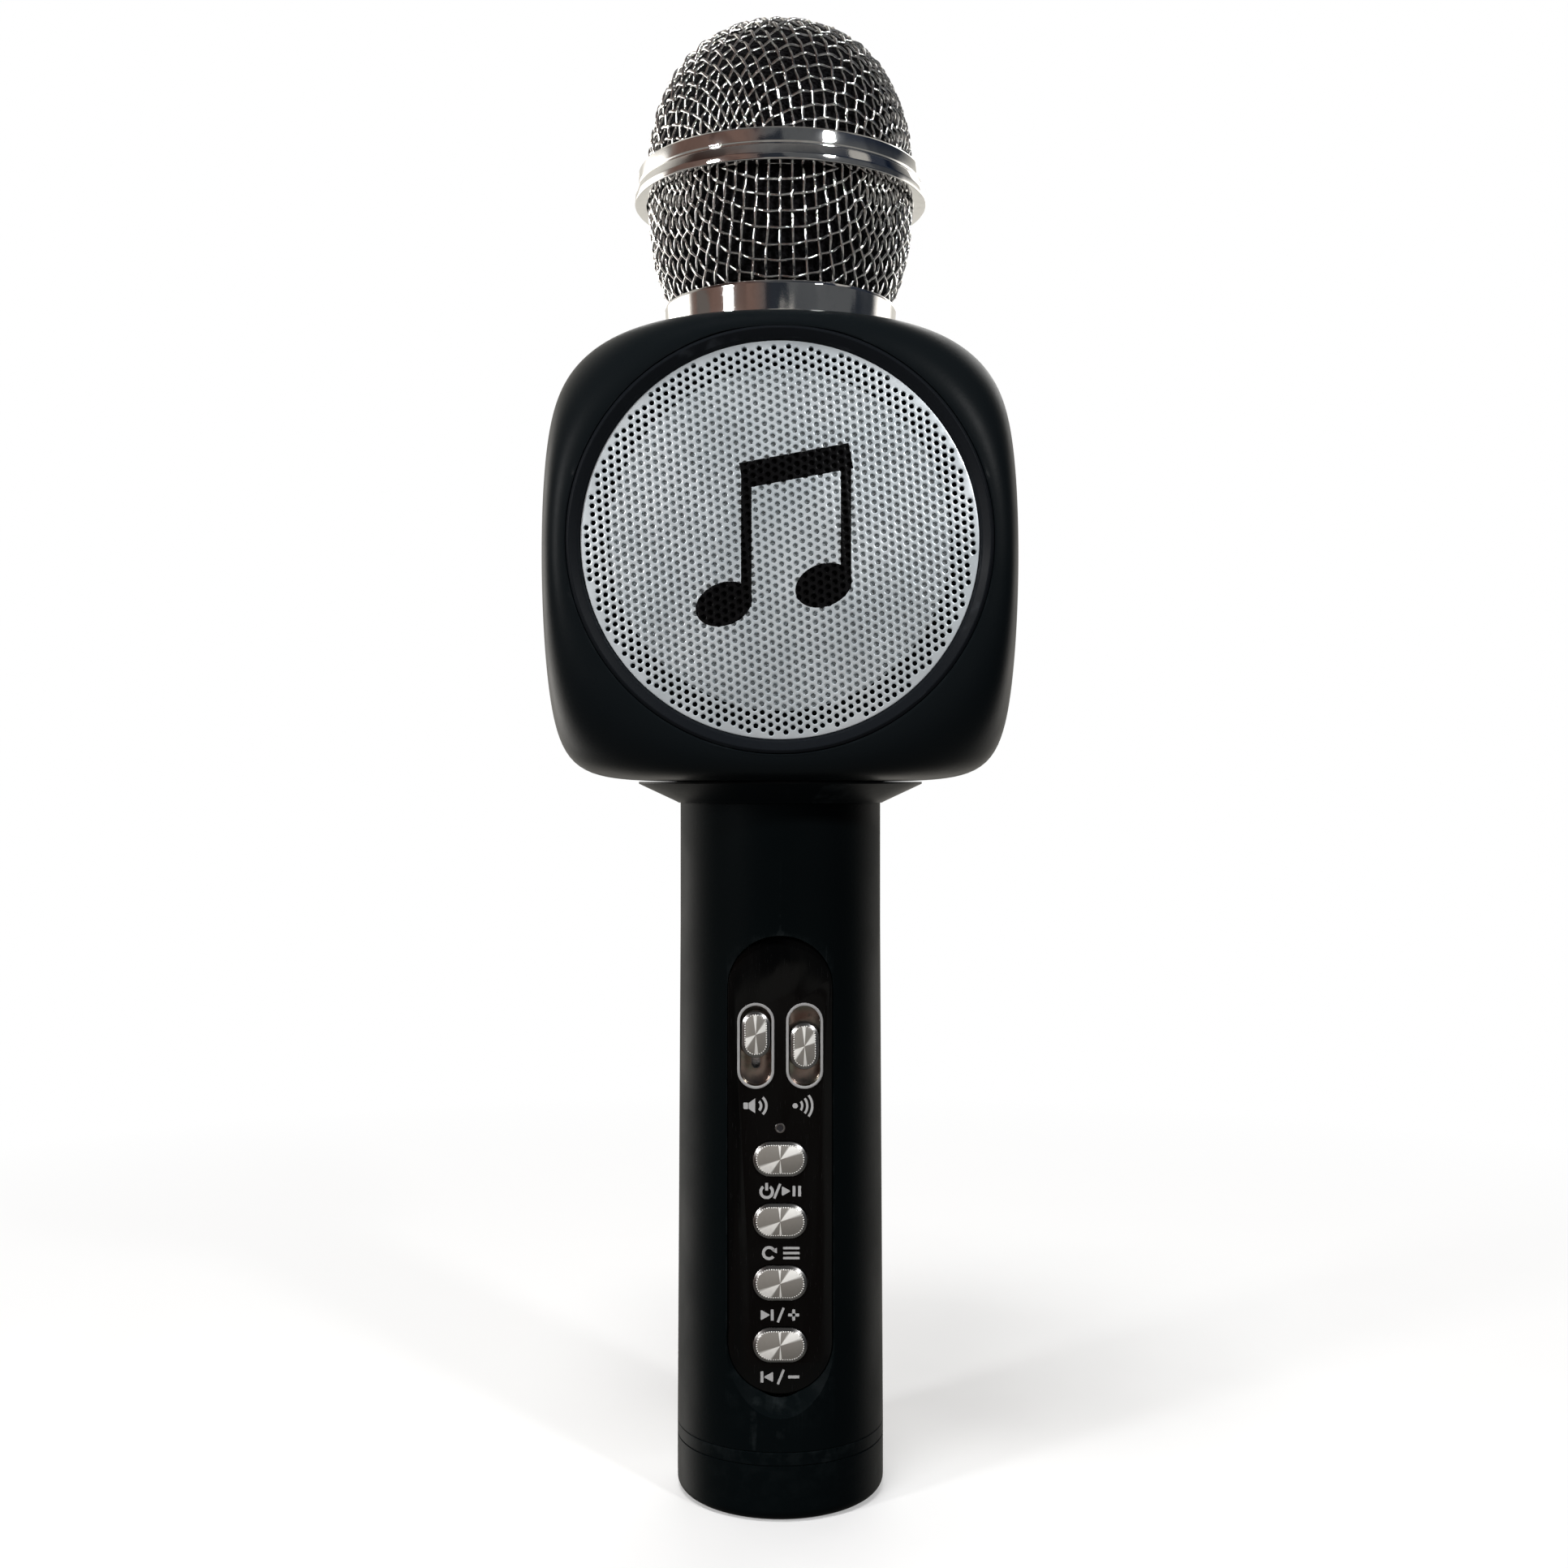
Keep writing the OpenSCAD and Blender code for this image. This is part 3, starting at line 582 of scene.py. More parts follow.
LOOKS = {
    "mesh_wire": wire_chrome(),
    "chrome": chrome("chrome"),
    "control_chrome": chrome("control_chrome", (0.27, 0.265, 0.26), (0.24, 0.32), 0.002),
    "foam": foam_look(),
    "seal_rubber": rubber(),
    "inner_plastic": plastic("inner_plastic", (0.02, 0.02, 0.022)),
    "plated_steel": steel("plated_steel"),
    "magnet": steel("ferrite", (0.12, 0.12, 0.13), 0.5),
    "grille_metal": grille_look("grille_metal", False),
    "housing_paint": painted("housing_paint", (0.0044, 0.0062, 0.0074), 0.36, 0.012, 0.06),
    "trim_plastic": painted("trim_plastic", (0.0062, 0.0076, 0.0096), 0.42, 0.012, 0.06),
    "handle_metal": painted("handle_metal", (0.0022, 0.0036, 0.0041), 0.42, 0.014, 0.02),
    "cone_paper": plastic("cone_paper", (0.03, 0.03, 0.032), 0.8, 0.05),
    "copper": steel("copper", (0.72, 0.36, 0.2), 0.25),
    "circuit_board": board(),
    "battery_wrap": plastic("battery_wrap", (0.03, 0.12, 0.4), 0.25, 0.01),
    "panel_gloss": gloss_panel(),
    "lens": clear_lens(),
    "slider_plastic": plastic("slider_plastic", (0.7, 0.68, 0.6), 0.4),
    "lead_red": plastic("lead_red", (0.4, 0.02, 0.02), 0.45),
    "lead_black": plastic("lead_black", (0.02, 0.02, 0.02), 0.45),
}
SPUN_PAINTED_HIGHLIGHT = spun_chrome_painted_highlight()
RIM = plastic("satin_rim", (0.34, 0.34, 0.34), 0.35, 0.004)
CUP = tray_mirror()
FACETS_PAINTED_GLINT = facets_painted_glint()
INK = ink_look("ink", (0.42, 0.42, 0.42))


def dress_nodes():
    """Gives every CAD node its slot's material."""
    for part in frame["record"]["subparts"]:
        materials = frame["nodes"][part["node"]].data.materials
        materials.clear()
        materials.append(LOOKS[part["material_slot"]])


# ---- camera, light and floor ----

CAMERA = (0.65, -319, 124.5)
LENS = 40.994
SENSOR = 36


def camera():
    """Level with the underside of the housing and a third of a metre in front."""
    view = bpy.data.cameras.new("camera")
    view.sensor_width = SENSOR
    view.lens = LENS
    view.clip_start = 0.01
    obj = bpy.data.objects.new("camera", view)
    obj.location = Vector(CAMERA) * MM
    obj.rotation_euler = (radians(90), 0, 0)
    bpy.context.scene.collection.objects.link(obj)
    bpy.context.scene.camera = obj


def softbox(name, place, target, size, power, mirrored=True):
    lamp = bpy.data.lights.new(name, "AREA")
    lamp.shape = "RECTANGLE"
    lamp.size, lamp.size_y = size
    lamp.energy = power
    obj = bpy.data.objects.new(name, lamp)
    obj.location = place
    aim = Vector(target) - Vector(place)
    obj.rotation_euler = aim.to_track_quat("-Z", "Y").to_euler()
    obj.visible_glossy = mirrored
    bpy.context.scene.collection.objects.link(obj)


def studio():
    softbox("top_light", (-0.12, -0.35, 0.95), (0, 0, 0.15), (0.3, 0.2), 6, mirrored=False)
    softbox("left_light", (-0.62, -0.5, 0.35), (0, 0, 0.17), (0.09, 0.2), 3.2)
    softbox("right_light", (0.62, -0.78, 0.62), (0, 0, 0.08), (0.09, 0.09), 4.5)
    softbox("back_light", (0.2, 0.9, 0.7), (0, 0, 0.15), (0.9, 0.5), 3)
    bpy.context.scene.world = room()
    bpy.context.scene.view_settings.view_transform = "Standard"


def zone(sky, *edges):
    """A mask that rises from 0 to 1 between the start and the end of every edge."""
    mask = 1.0
    for value, start, end in edges:
        mask = sky.math("MULTIPLY", mask, sky.span(value, start, end, 0, 1, "SMOOTHSTEP"))
    return mask


def dim_side(sky, here, x, y, z):
    """What stands in front: slate patches, warm at the left and low down, navy at the upper right."""
    ripple = sky.node("TexNoise", {"Vector": here, "Scale": 5.0}).outputs["Color"]
    patches = sky.node("TexVoronoi", {"Vector": sky.mix(0.14, here, ripple), "Scale": 3.4})
    tone, spark, _ = sky.node("SeparateColor", {0: patches.outputs["Color"]}).outputs
    shade = zone(sky, (tone, 0.3, 0.8))
    slate = sky.mix(shade, (0.022, 0.026, 0.033), (0.085, 0.088, 0.092))
    warm = sky.mix(shade, (0.04, 0.024, 0.02), (0.16, 0.1, 0.082))
    navy = sky.mix(shade, (0.006, 0.01, 0.02), (0.03, 0.036, 0.05))
    colour = sky.mix(zone(sky, (x, -0.1, -0.5)), slate, warm)
    colour = sky.mix(zone(sky, (x, 0.35, 0.6), (z, 0.3, 0.42)), colour, navy)
    colour = sky.mix(zone(sky, (z, 0.0, -0.12), (y, -0.8, -0.93)), colour, warm)
    return sky.mix(zone(sky, (spark, 0.88, 0.92)), colour, (0.42, 0.4, 0.37))


def room():
    """Dim in front, pale behind, bright low down at both sides, and plain white to the camera."""
    world = bpy.data.worlds.new("room")
    world.use_nodes = True
    world.node_tree.nodes.clear()
    sky = Shading(world.node_tree)
    here = sky.coords.outputs["Generated"]
    x, y, z = sky.axes(here)
    back = sky.math("ADD", sky.math("MULTIPLY", zone(sky, (x, 0.1, 0.6)), -0.35), y)
    colour = dim_side(sky, here, x, y, z)
    for edges, other in (
        ([(back, -0.05, 0.6)], (0.72, 0.69, 0.63)),
        ([(x, -0.45, -0.7), (z, 0.42, 0.2), (y, 0.1, 0.35)], (4.0, 3.85, 3.65)),
        ([(x, 0.5, 0.7), (z, 0.36, 0.15), (y, 0.2, 0.45)], (2.0, 1.92, 1.8)),
        ([(z, -0.2, -0.8)], (0.24, 0.235, 0.22)),
        ([(z, 0.7, 0.95)], (0.15, 0.145, 0.14)),
    ):
        colour = sky.mix(zone(sky, *edges), colour, other)
    around = sky.node("Background", {"Color": colour}).outputs[0]
    seen = sky.node("Background", {"Color": (1, 1, 1, 1)}).outputs[0]
    camera_ray = sky.node("LightPath").outputs["Is Camera Ray"]
    light = sky.node("MixShader", {"Fac": camera_ray, 1: around, 2: seen}).outputs[0]
    sky.node("OutputWorld", {"Surface": light})
    return world


def floor():
    """A pale floor that brightens to white in the distance."""
    look = Look("floor", (0.86, 0.86, 0.86), 0.6)
    look.bump(look.noise(0.4, 3), 0.02)
    look.rough(look.noise(0.05, 3), 0.55, 0.7)
    place = look.coords.outputs["Object"]
    away = look.node("VectorMath", {0: place}, operation="LENGTH").outputs["Value"]
    glow = look.span(away, 0.02, 0.4, 0.3, 1)
    white = look.node("Emission").outputs[0]
    mix = look.node("MixShader", {"Fac": glow, 1: look.shader.outputs[0], 2: white})
    look.link(mix.outputs[0], look.tree.nodes["Material Output"].inputs["Surface"])
    obj = make("floor", prism(circle(4000, 96), -20, 0), look.material)
    obj.visible_glossy = False
    obj.visible_diffuse = False


# ---- woven wire mesh ----

def dome_spread(profile):
    """The arc length, radius and height along a profile that starts at the pole."""
    points = np.array(profile)
    steps = np.hypot(*np.diff(points, axis=0).T)
    return np.concatenate([[0], np.cumsum(steps)]), points[:, 0], points[:, 1]


def pressed_net(profile, pitch, turn, give):
    """The crossings of a square net pressed over a dome: rows keep their length from the pole.

    Near the rim the net keeps its width along its own two directions, and closes up between them.
    """
    reach_s, reach_r, reach_z = dome_spread(profile)
    far = reach_s[-1] + 3 * pitch
    rim_slope = np.array([reach_r[-1] - reach_r[-2], reach_z[-1] - reach_z[-2]])
    rim_slope /= reach_s[-1] - reach_s[-2]
    reach_r = np.append(reach_r, reach_r[-1] + rim_slope[0] * (far - reach_s[-1]))
    reach_z = np.append(reach_z, reach_z[-1] + rim_slope[1] * (far - reach_s[-1]))
    reach_s = np.append(reach_s, far)
    count = ceil(far / pitch)
    u, v = np.meshgrid(*[np.arange(-count, count + 1) * pitch] * 2, indexing="ij")
    s = np.hypot(u, v)
    kept = s < reach_s[-2] + 2 * pitch
    angle = np.arctan2(v, u)
    angle = angle + give * np.minimum(s / reach_s[-2], 1) ** 2 * np.sin(4 * angle) / 4 + radians(turn)
    r, z = np.interp(s, reach_s, reach_r), np.interp(s, reach_s, reach_z)
    return np.stack([r * np.cos(angle), r * np.sin(angle), z], -1), kept


def strand(points, r, sides=6):
    """A round wire through points, as a closed tube."""
    points = np.array(points)
    way = np.gradient(points, axis=0)
    way /= np.linalg.norm(way, axis=1, keepdims=True)
    side = np.cross(way[0], (0, 0, 1) if abs(way[0][2]) < 0.9 else (1, 0, 0))
    loops = []
    for p, t in zip(points, way):
        side = side - t * (side @ t)
        side /= np.linalg.norm(side)
        up = np.cross(t, side)
        loops.append([p + r * (cos(a) * side + sin(a) * up)
                      for a in (2 * pi * k / sides for k in range(sides))])
    return loft(loops)


def smooth_path(knots, steps):
    """A Catmull-Rom curve through the knots."""
    k = np.array(knots)
    k = np.vstack([2 * k[0] - k[1], k, 2 * k[-1] - k[-2]])
    out = []
    for i in range(1, len(k) - 2):
        for step in range(steps):
            t = step / steps
            out.append(0.5 * (2 * k[i] + (k[i + 1] - k[i - 1]) * t
                              + (2 * k[i - 1] - 5 * k[i] + 4 * k[i + 1] - k[i + 2]) * t * t
                              + (3 * k[i] - k[i - 1] - 3 * k[i + 1] + k[i + 2]) * t ** 3))
    out.append(k[-2])
    return out


def woven(name, profile, pitch, turn, wire_r, inside, node, seed):
    """A woven wire cup over a profile, its wires passing over and under, kept where inside says."""
    net, kept = pressed_net(profile, pitch, turn, 0.35)
    random = np.random.default_rng(seed)
    net = net + random.normal(0, 0.06, net.shape)
    pole = np.array([0, 0, profile[-1][1]])
    out = net - pole
    out /= np.linalg.norm(out, axis=-1, keepdims=True)
    i, j = np.indices(kept.shape)
    wave = np.where((i + j) % 2 == 0, 1, -1)[..., None] * out * wire_r * 0.95
    solids = []
    for knots, mask in [(net[n] + wave[n], kept[n]) for n in range(len(net))] + \
                       [(net[:, n] - wave[:, n], kept[:, n]) for n in range(len(net))]:
        path = [p for p in smooth_path(knots[mask], 4) if inside(p)] if mask.sum() > 3 else []
        runs, run = [], []
        for p in path:
            if run and np.linalg.norm(p - run[-1]) > pitch:
                runs.append(run)
                run = []
            run.append(p)
        runs.append(run)
        solids += [strand(points, wire_r) for points in runs if len(points) > 3]
    piece(name, join(*solids), HEAD, "mesh_wire", node, sharp=80)


WIRE_R = 0.27


def dome_point(turn, inset, rise_inset=None):
    """The upper mesh's radius and height, a little fuller than an ellipse, at turn degrees."""
    rise = dome_top - ring_z - (inset if rise_inset is None else rise_inset)
    a = radians(turn)
    return (ball_r - inset) * max(0, cos(a)) ** (1 / 1.2), ring_z + rise * sin(a) ** (1 / 1.2)


def upper_mesh():
    profile = [dome_point(turn, WIRE_R * 2) for turn in [90, 89.7, 89, 88] + list(range(86, -1, -2))]
    woven("upper_mesh_wires", profile, 2.45, -66, WIRE_R,
          lambda p: p[2] > ring_z + 0.6, "upper_mesh", 3)


def bowl_r(drop):
    return ball_r * sqrt(max(0, 1 - (drop / 32.5) ** 2.6))


def lower_mesh():
    skin = WIRE_R * 2
    drops = [32.5 * sqrt(1 - (k / 24) ** 2) for k in range(25)]
    profile = [(max(0, bowl_r(d) - skin), ring_z - d + skin * d / 32.5) for d in drops]
    woven("lower_mesh_wires", profile, 2.62, -90, WIRE_R,
          lambda p: ring_z - 0.6 > p[2] > collar_high - 1.6, "lower_mesh", 5)


# ---- the rest of the head ----

def head_ring():
    h = ring_half
    ring = rounded([
        (ball_r + 0.05, -h), (ring_r, -h), (ring_r, -h + 1.1), (ring_r - 0.5, -0.2),
        (ring_r - 0.8, 0.0), (ring_r - 0.8, 0.25), (ring_r - 0.6, 0.45), (ring_r - 0.65, h - 0.3),
        (ring_r - 0.9, h), (ball_r + 0.05, h)
    ], [0, 0.3, 0.8, 0.2, 0.1, 0.1, 0.15, 0.2, 0.1, 0])
    solid = moved(lathe(ring, FINE), shift(z=ring_z))
    piece("chrome_ring", solid, HEAD, "chrome", "head_ring", sharp=50)


def head_collar():
    low_r = collar_r - 0.45
    inner = bowl_r(ring_z - collar_high) + 0.05
    deep = low("head_collar")[2]
    collar = rounded([
        (16.4, deep), (18.4, deep), (18.4, collar_low), (low_r, collar_low),
        (low_r + 0.12, collar_low + 0.7), (collar_r, collar_high - 0.5), (collar_r - 0.15, collar_high),
        (inner, collar_high), (inner - 0.6, collar_high - 2.4), (16.4, collar_high - 2.4)
    ], [0, 0, 0, 0.2, 0.4, 0.4, 0.2, 0.1, 0, 0])
    piece("chrome_collar", lathe(collar, FINE), HEAD, "chrome", "head_collar", sharp=50)


def foam_lining():
    top = high("windscreen_foam")[2]
    bottom = low("windscreen_foam")[2]
    lining = [(bowl_r(ring_z - bottom) - 6.5, bottom), (bowl_r(ring_z - bottom) - 1.5, bottom)]
    lining += [(bowl_r(d) - 1.5, ring_z - d) for d in (16, 12, 8, 4)]
    lining += [dome_point(turn, 1.5, dome_top - top) for turn in range(0, 91, 6)]
    lining += [dome_point(turn, 8) for turn in range(90, -1, -10)]
    foam = piece("foam_lining", lathe(lining, 96), HEAD, "foam", "windscreen_foam", sharp=60)


# ---- housing ----

BLEND_POWER = 12
FRONT_R = 34.6
CORNER_POWER = (8.6, -3.2)
DOME_R = (53.5, -3.5)
HEAD_SEAT_R = 21.05
SCREW_AT = 29.5
WALL = 2.2
SHELF = housing_depth - 3.6
SHELF_BACK = housing_depth - 5.3


def shell_radius(angle, lift, inset=0):
    """The housing's radius about the speaker's axis. lift runs from 0 at the seam to 90 degrees.

    The two corners at the bottom are squarer than the two at the top. Blending the outline with the
    dome takes a little off the width and the height, which is given back.
    """
    power = CORNER_POWER[0] + CORNER_POWER[1] * sin(angle)
    dome_r = DOME_R[0] + DOME_R[1] * sin(angle)
    across = abs(cos(angle)) / (half_w - inset + 0.08)
    upright = abs(sin(angle)) / (half_h - inset + 0.1)
    outline = (across ** power + upright ** power) ** (-1 / power)
    dome = FRONT_R - inset + (dome_r - FRONT_R) * cos(lift)
    return (outline ** -BLEND_POWER + dome ** -BLEND_POWER) ** (-1 / BLEND_POWER)


def shell_solid(steps=288, rows=44):
    angles = [2 * pi * k / steps for k in range(steps)]

    def ring(radius, depth):
        return [(radius(a) * cos(a), radius(a) * sin(a), depth) for a in angles]

    inner_top = np.arcsin(SHELF_BACK / (housing_depth - WALL))
    loops = [ring(lambda a: shell_radius(a, 0) - 0.28, 0)]
    loops.append(ring(lambda a: shell_radius(a, 0) - 0.06, 0.14))
    for row in range(rows):
        lift = (0.01 + 0.99 * row / rows) * pi / 2
        loops.append(ring(lambda a, t=lift: shell_radius(a, t), housing_depth * sin(lift)))
    for r, depth in ((FRONT_R + 0.25, housing_depth - 0.01), (FRONT_R + 0.06, housing_depth - 0.06),
                     (FRONT_R - 0.02, housing_depth - 0.22), (FRONT_R - 0.05, SHELF),
                     (29, SHELF), (29, SHELF_BACK)):
        loops.append(ring(lambda a, r=r: r, depth))
    for row in range(13):
        lift = inner_top * (1 - row / 12)
        loops.append(ring(lambda a, t=lift: shell_radius(a, t, WALL), (housing_depth - WALL) * sin(lift)))
    return loft(loops, closed=True)


def shell_depth(u, v):
    """How far out the housing's surface is, at a place measured from the speaker's axis."""
    angle, r = atan2(v, u), hypot(u, v)
    inside, outside = 0, pi / 2
    for _ in range(30):
        lift = (inside + outside) / 2
        if shell_radius(angle, lift) > r:
            inside = lift
        else:
            outside = lift
    return housing_depth * sin(inside)


def screw_post(u, v):
    """A post whose outer end stops within the wall of the shell."""
    outline = [(u + x, v + y) for x, y in circle(3.8, 48)]
    inner_end = [(x, y, 7.2) for x, y in outline]
    return loft([inner_end, [(x, y, shell_depth(x, y) - WALL / 2) for x, y in outline]])


def housing():
    holes = [prism(circle(HEAD_SEAT_R, 128), housing_high - 8, housing_high + 5),
             prism(circle(handle_r + 0.06, 128), housing_low - 5, housing_low + 6)]
    shell = shell_solid()
    front = make("housing_front_shell", moved(shell, to_front(v=speaker_z)), LOOKS["housing_paint"])
    combine(front, holes)
    belongs(front, HANDSET, "housing_paint", "housing_front")

    rear = make("housing_rear_shell", moved(shell, to_rear(v=speaker_z)), LOOKS["housing_paint"])
    corners = [(u * SCREW_AT, v * SCREW_AT) for u in (-1, 1) for v in (-1, 1)]
    posts = [moved(screw_post(u, v), to_rear(v=speaker_z)) for u, v in corners]
    sinks = [moved(prism(circle(2.6, 48), 12, 40), to_rear(u, speaker_z + v)) for u, v in corners]
    combine(rear, posts, "UNION")
    combine(rear, holes + sinks)
    belongs(rear, HANDSET, "housing_paint", "housing_rear")


SHEET = 0.5
PITCH = 1.38
BORDER = 32.0
SHEET_TURN = radians(4)


def dish(r):
    """The grille's depth at a radius."""
    bulge = 1.8
    curve = (31 ** 2 + bulge ** 2) / (2 * bulge)
    return grille_front - curve + sqrt(curve ** 2 - r * r)


def skin(sheet, last, row):
    """Faces between two loops of points."""
    for k in range(len(row)):
        n = (k + 1) % len(row)
        sheet.faces.new((last[k], last[n], row[n], row[k]))


def sheet_cell(sheet, u, v):
    """One six-sided cell of the sheet: a punched hole with a pressed-in lip, and flat metal round it."""
    corners = [radians(30 * k + 90) + SHEET_TURN for k in range(12)]
    outer = [PITCH / 2 / cos(radians(30)) if k % 2 else PITCH / 2 for k in range(12)]
    lip, throat = 0.53, 0.41
    levels = [(outer, 0), ([lip] * 12, 0), ([(lip + throat) / 2] * 12, -0.05), ([throat] * 12, -0.17),
              ([throat] * 12, -SHEET), (outer, -SHEET)]
    last = None
    for radii, depth in levels:
        row = [sheet.verts.new((u + r * cos(a), v + r * sin(a), depth)) for r, a in zip(radii, corners)]
        if last:
            skin(sheet, last, row)
        last = row


def punch(sheet):
    """Rows of holes as far out as they fit, with the corners of the last cells pulled in."""
    row_pitch = PITCH * sqrt(3) / 2
    rows = ceil(BORDER / row_pitch)
    for row in range(-rows, rows + 1):
        for column in range(-rows, rows + 1):
            across = row * row_pitch
            along = (column + (row % 2) / 2) * PITCH
            if hypot(across, along) < BORDER - 0.6:
                u = across * cos(SHEET_TURN) - along * sin(SHEET_TURN)
                v = across * sin(SHEET_TURN) + along * cos(SHEET_TURN)
                sheet_cell(sheet, u, v)
    bmesh.ops.remove_doubles(sheet, verts=sheet.verts, dist=0.02)
    for vert in sheet.verts:
        reach = hypot(vert.co.x, vert.co.y)
        if reach > BORDER - 0.06:
            vert.co.xy *= (BORDER - 0.06) / reach
    bmesh.ops.remove_doubles(sheet, verts=sheet.verts, dist=0.01)


def border_circles(sheet):
    """Fills both faces of the sheet out to a circle, and gives the two circles."""
    ragged = [e for e in sheet.edges if e.is_boundary]
    circles = []
    for depth in (0, -SHEET):
        ring = [sheet.verts.new((x, y, depth)) for x, y in circle(BORDER, FINE)]
        edges = [sheet.edges.new((ring[k], ring[(k + 1) % len(ring)])) for k in range(len(ring))]
        level = [e for e in ragged if abs(e.verts[0].co.z - depth) < 0.1]
        bmesh.ops.triangle_fill(sheet, edges=level + edges, use_beauty=True)
        circles.append(ring)
    return circles


def perforated_sheet():
    """One grille: rows of punched holes, a narrow border and an edge folded back."""
    sheet = bmesh.new()
    punch(sheet)
    last, inner_circle = border_circles(sheet)
    for vert in sheet.verts:
        vert.co.z += dish(hypot(vert.co.x, vert.co.y))
    edge = dish(BORDER)
    fold = rounded([
        (BORDER, edge), (grille_r, edge - 0.05), (grille_r, SHELF + 1), (grille_r - SHEET, SHELF + 1),
        (grille_r - SHEET, edge - SHEET - 0.3), (BORDER, edge - SHEET)
    ], [0, 0.3, 0, 0, 0, 0], 6)
    for r, depth in fold[1:-1]:
        row = [sheet.verts.new((x, y, depth)) for x, y in circle(r, FINE)]
        skin(sheet, last, row)
        last = row
    skin(sheet, last, inner_circle)
    sheet.verts.index_update()
    points = [tuple(v.co) for v in sheet.verts]
    faces = [tuple(v.index for v in f.verts) for f in sheet.faces]
    sheet.free()
    return points, faces


def grilles():
    sheet = perforated_sheet()
    printed = grille_look("grille_printed", True)
    trim = rounded([
        (30.6, SHELF), (trim_r, SHELF), (trim_r, housing_depth - 0.15), (trim_r - 0.5, housing_depth + 0.2),
        (grille_r + 0.5, housing_depth - 0.55), (grille_r + 0.1, housing_depth - 1.1),
        (grille_r + 0.1, SHELF + 0.9), (30.6, SHELF + 0.9)
    ], [0, 0, 0.2, 0.3, 0.4, 0.1, 0, 0])
    reach = [27.6 * k / 8 for k in range(9)]
    backing = [(r, dish(r) - SHEET - 0.1) for r in reach]
    backing += [(r, dish(r) - SHEET - 0.4) for r in reversed(reach)]
    for side, place, look in (("front", to_front, printed), ("rear", to_rear, LOOKS["grille_metal"])):
        here = place(v=speaker_z)
        piece(side + "_grille_sheet", moved(sheet, here), HANDSET, "grille_metal", side + "_grille",
              look=look, sharp=40)
        piece(side + "_trim_ring", moved(lathe(trim, FINE), here), HANDSET, "trim_plastic", side + "_trim",
              sharp=40)
        scrim = cloth(side + "_cloth", side == "front")
        piece(side + "_scrim", moved(lathe(backing, 96), here), HANDSET, "foam", look=scrim)


# ---- handle ----

def handle():
    top = high("handle_tube")[2]
    flange = high("handle_tube")[0]
    wall_top = top - 2
    tube = rounded([
        (handle_bore_r, base_h + 0.05), (base_r, base_h + 0.05), (handle_r, taper_top),
        (handle_r, wall_top), (flange, wall_top), (flange, top), (handle_bore_r, top)
    ], [0, 0.15, 0, 0, 0, 0, 0])
    window = (panel_w + 0.2, panel_l + 0.2)
    opening = prism(stadium(*window, steps=96), 9, 22)
    low_end = window[0] / 2 - window[1] / 2
    ends = ((window[0] / 2, panel_depth), (window[0] / 2 + 4.6, panel_depth + 4))
    ramp = loft([[(x, low_end + y, depth) for x, y in circle(r, 96)] for r, depth in ends])
    body = make("handle_shell", lathe(tube, 256), LOOKS["handle_metal"])
    combine(body, [moved(solid, to_front(v=panel_z)) for solid in (opening, ramp)], sharp=30)
    belongs(body, HANDSET, "handle_metal", "handle_tube")


def neck():
    cone = rounded([
        (handle_r + 0.07, neck_low), (handle_r + 0.35, neck_low), (handle_r + 0.8, neck_low + 0.25),
        (neck_r, housing_low - 0.35), (neck_r, housing_low), (handle_r + 0.07, housing_low)
    ], [0, 0.1, 0.2, 0.15, 0, 0])
    piece("neck_cone", lathe(cone, FINE), HANDSET, "trim_plastic", "neck_ring",
          look=LOOKS["housing_paint"], sharp=50)


def base():
    """The base cap: a rounded edge, a fine seam line near its top, and a spigot inside the tube."""
    edge, seam, spigot = 2.0, base_h - 2.25, handle_bore_r - 0.1
    turns = [radians(a) for a in range(0, 91, 10)]
    cap_outline = [(0, 0)] + [(base_r - edge + edge * sin(a), edge - edge * cos(a)) for a in turns] + [
        (base_r, seam - 0.15), (base_r - 0.16, seam - 0.07), (base_r - 0.16, seam + 0.07),
        (base_r, seam + 0.15), (base_r, base_h - 0.15), (base_r - 0.15, base_h), (spigot, base_h),
        (spigot, base_h + 2.6), (14.3, base_h + 2.6), (14.3, 10), (15.7, 8.6), (15.7, 2.2), (0, 2.2)
    ]
    body = make("base_shell", lathe(cap_outline, FINE), LOOKS["handle_metal"])
    sockets = {"audio_jack": circle(2.95), "usb_port": oblong(7.7, 2.9, 0.5),
               "card_socket": oblong(11.6, 1.4, 0.3)}
    cutters = [moved(prism(outline, -2, 4), shift(*middle(node)[:2])) for node, outline in sockets.items()]
    recess = lathe([(0, -1), (2.1, -1), (2.1, 1.2), (1.1, 1.2), (1.1, 4), (0, 4)], 48)
    cutters += [moved(recess, shift(y=y)) for y in (-12, 12)]
    combine(body, cutters)
    belongs(body, HANDSET, "handle_metal", "base_cap")


# ---- control panel ----

TRAY = (6.3, 14.6)
LEVER_SLOT = (1.5, 8.0)
BUTTON = (9.3, 6.0)
KNOB = (4.9, 8.0)
BUTTONS = ("power", "mode", "next", "previous")
PANEL_CUT = (13, 17)
POSTS_Z = (23.5, 95.6)


def at(solid, x, z):
    return moved(solid, to_front(x, z))


def loops(size, levels, steps=64):
    """Stadium outlines from (inset, depth) pairs."""
    return [[(x, y, depth) for x, y in stadium(*size, inset, steps)] for inset, depth in levels]


def outlines(size, levels, steps=64, closed=False):
    """A solid skinned over a stack of stadium outlines."""
    return loft(loops(size, levels, steps), closed)


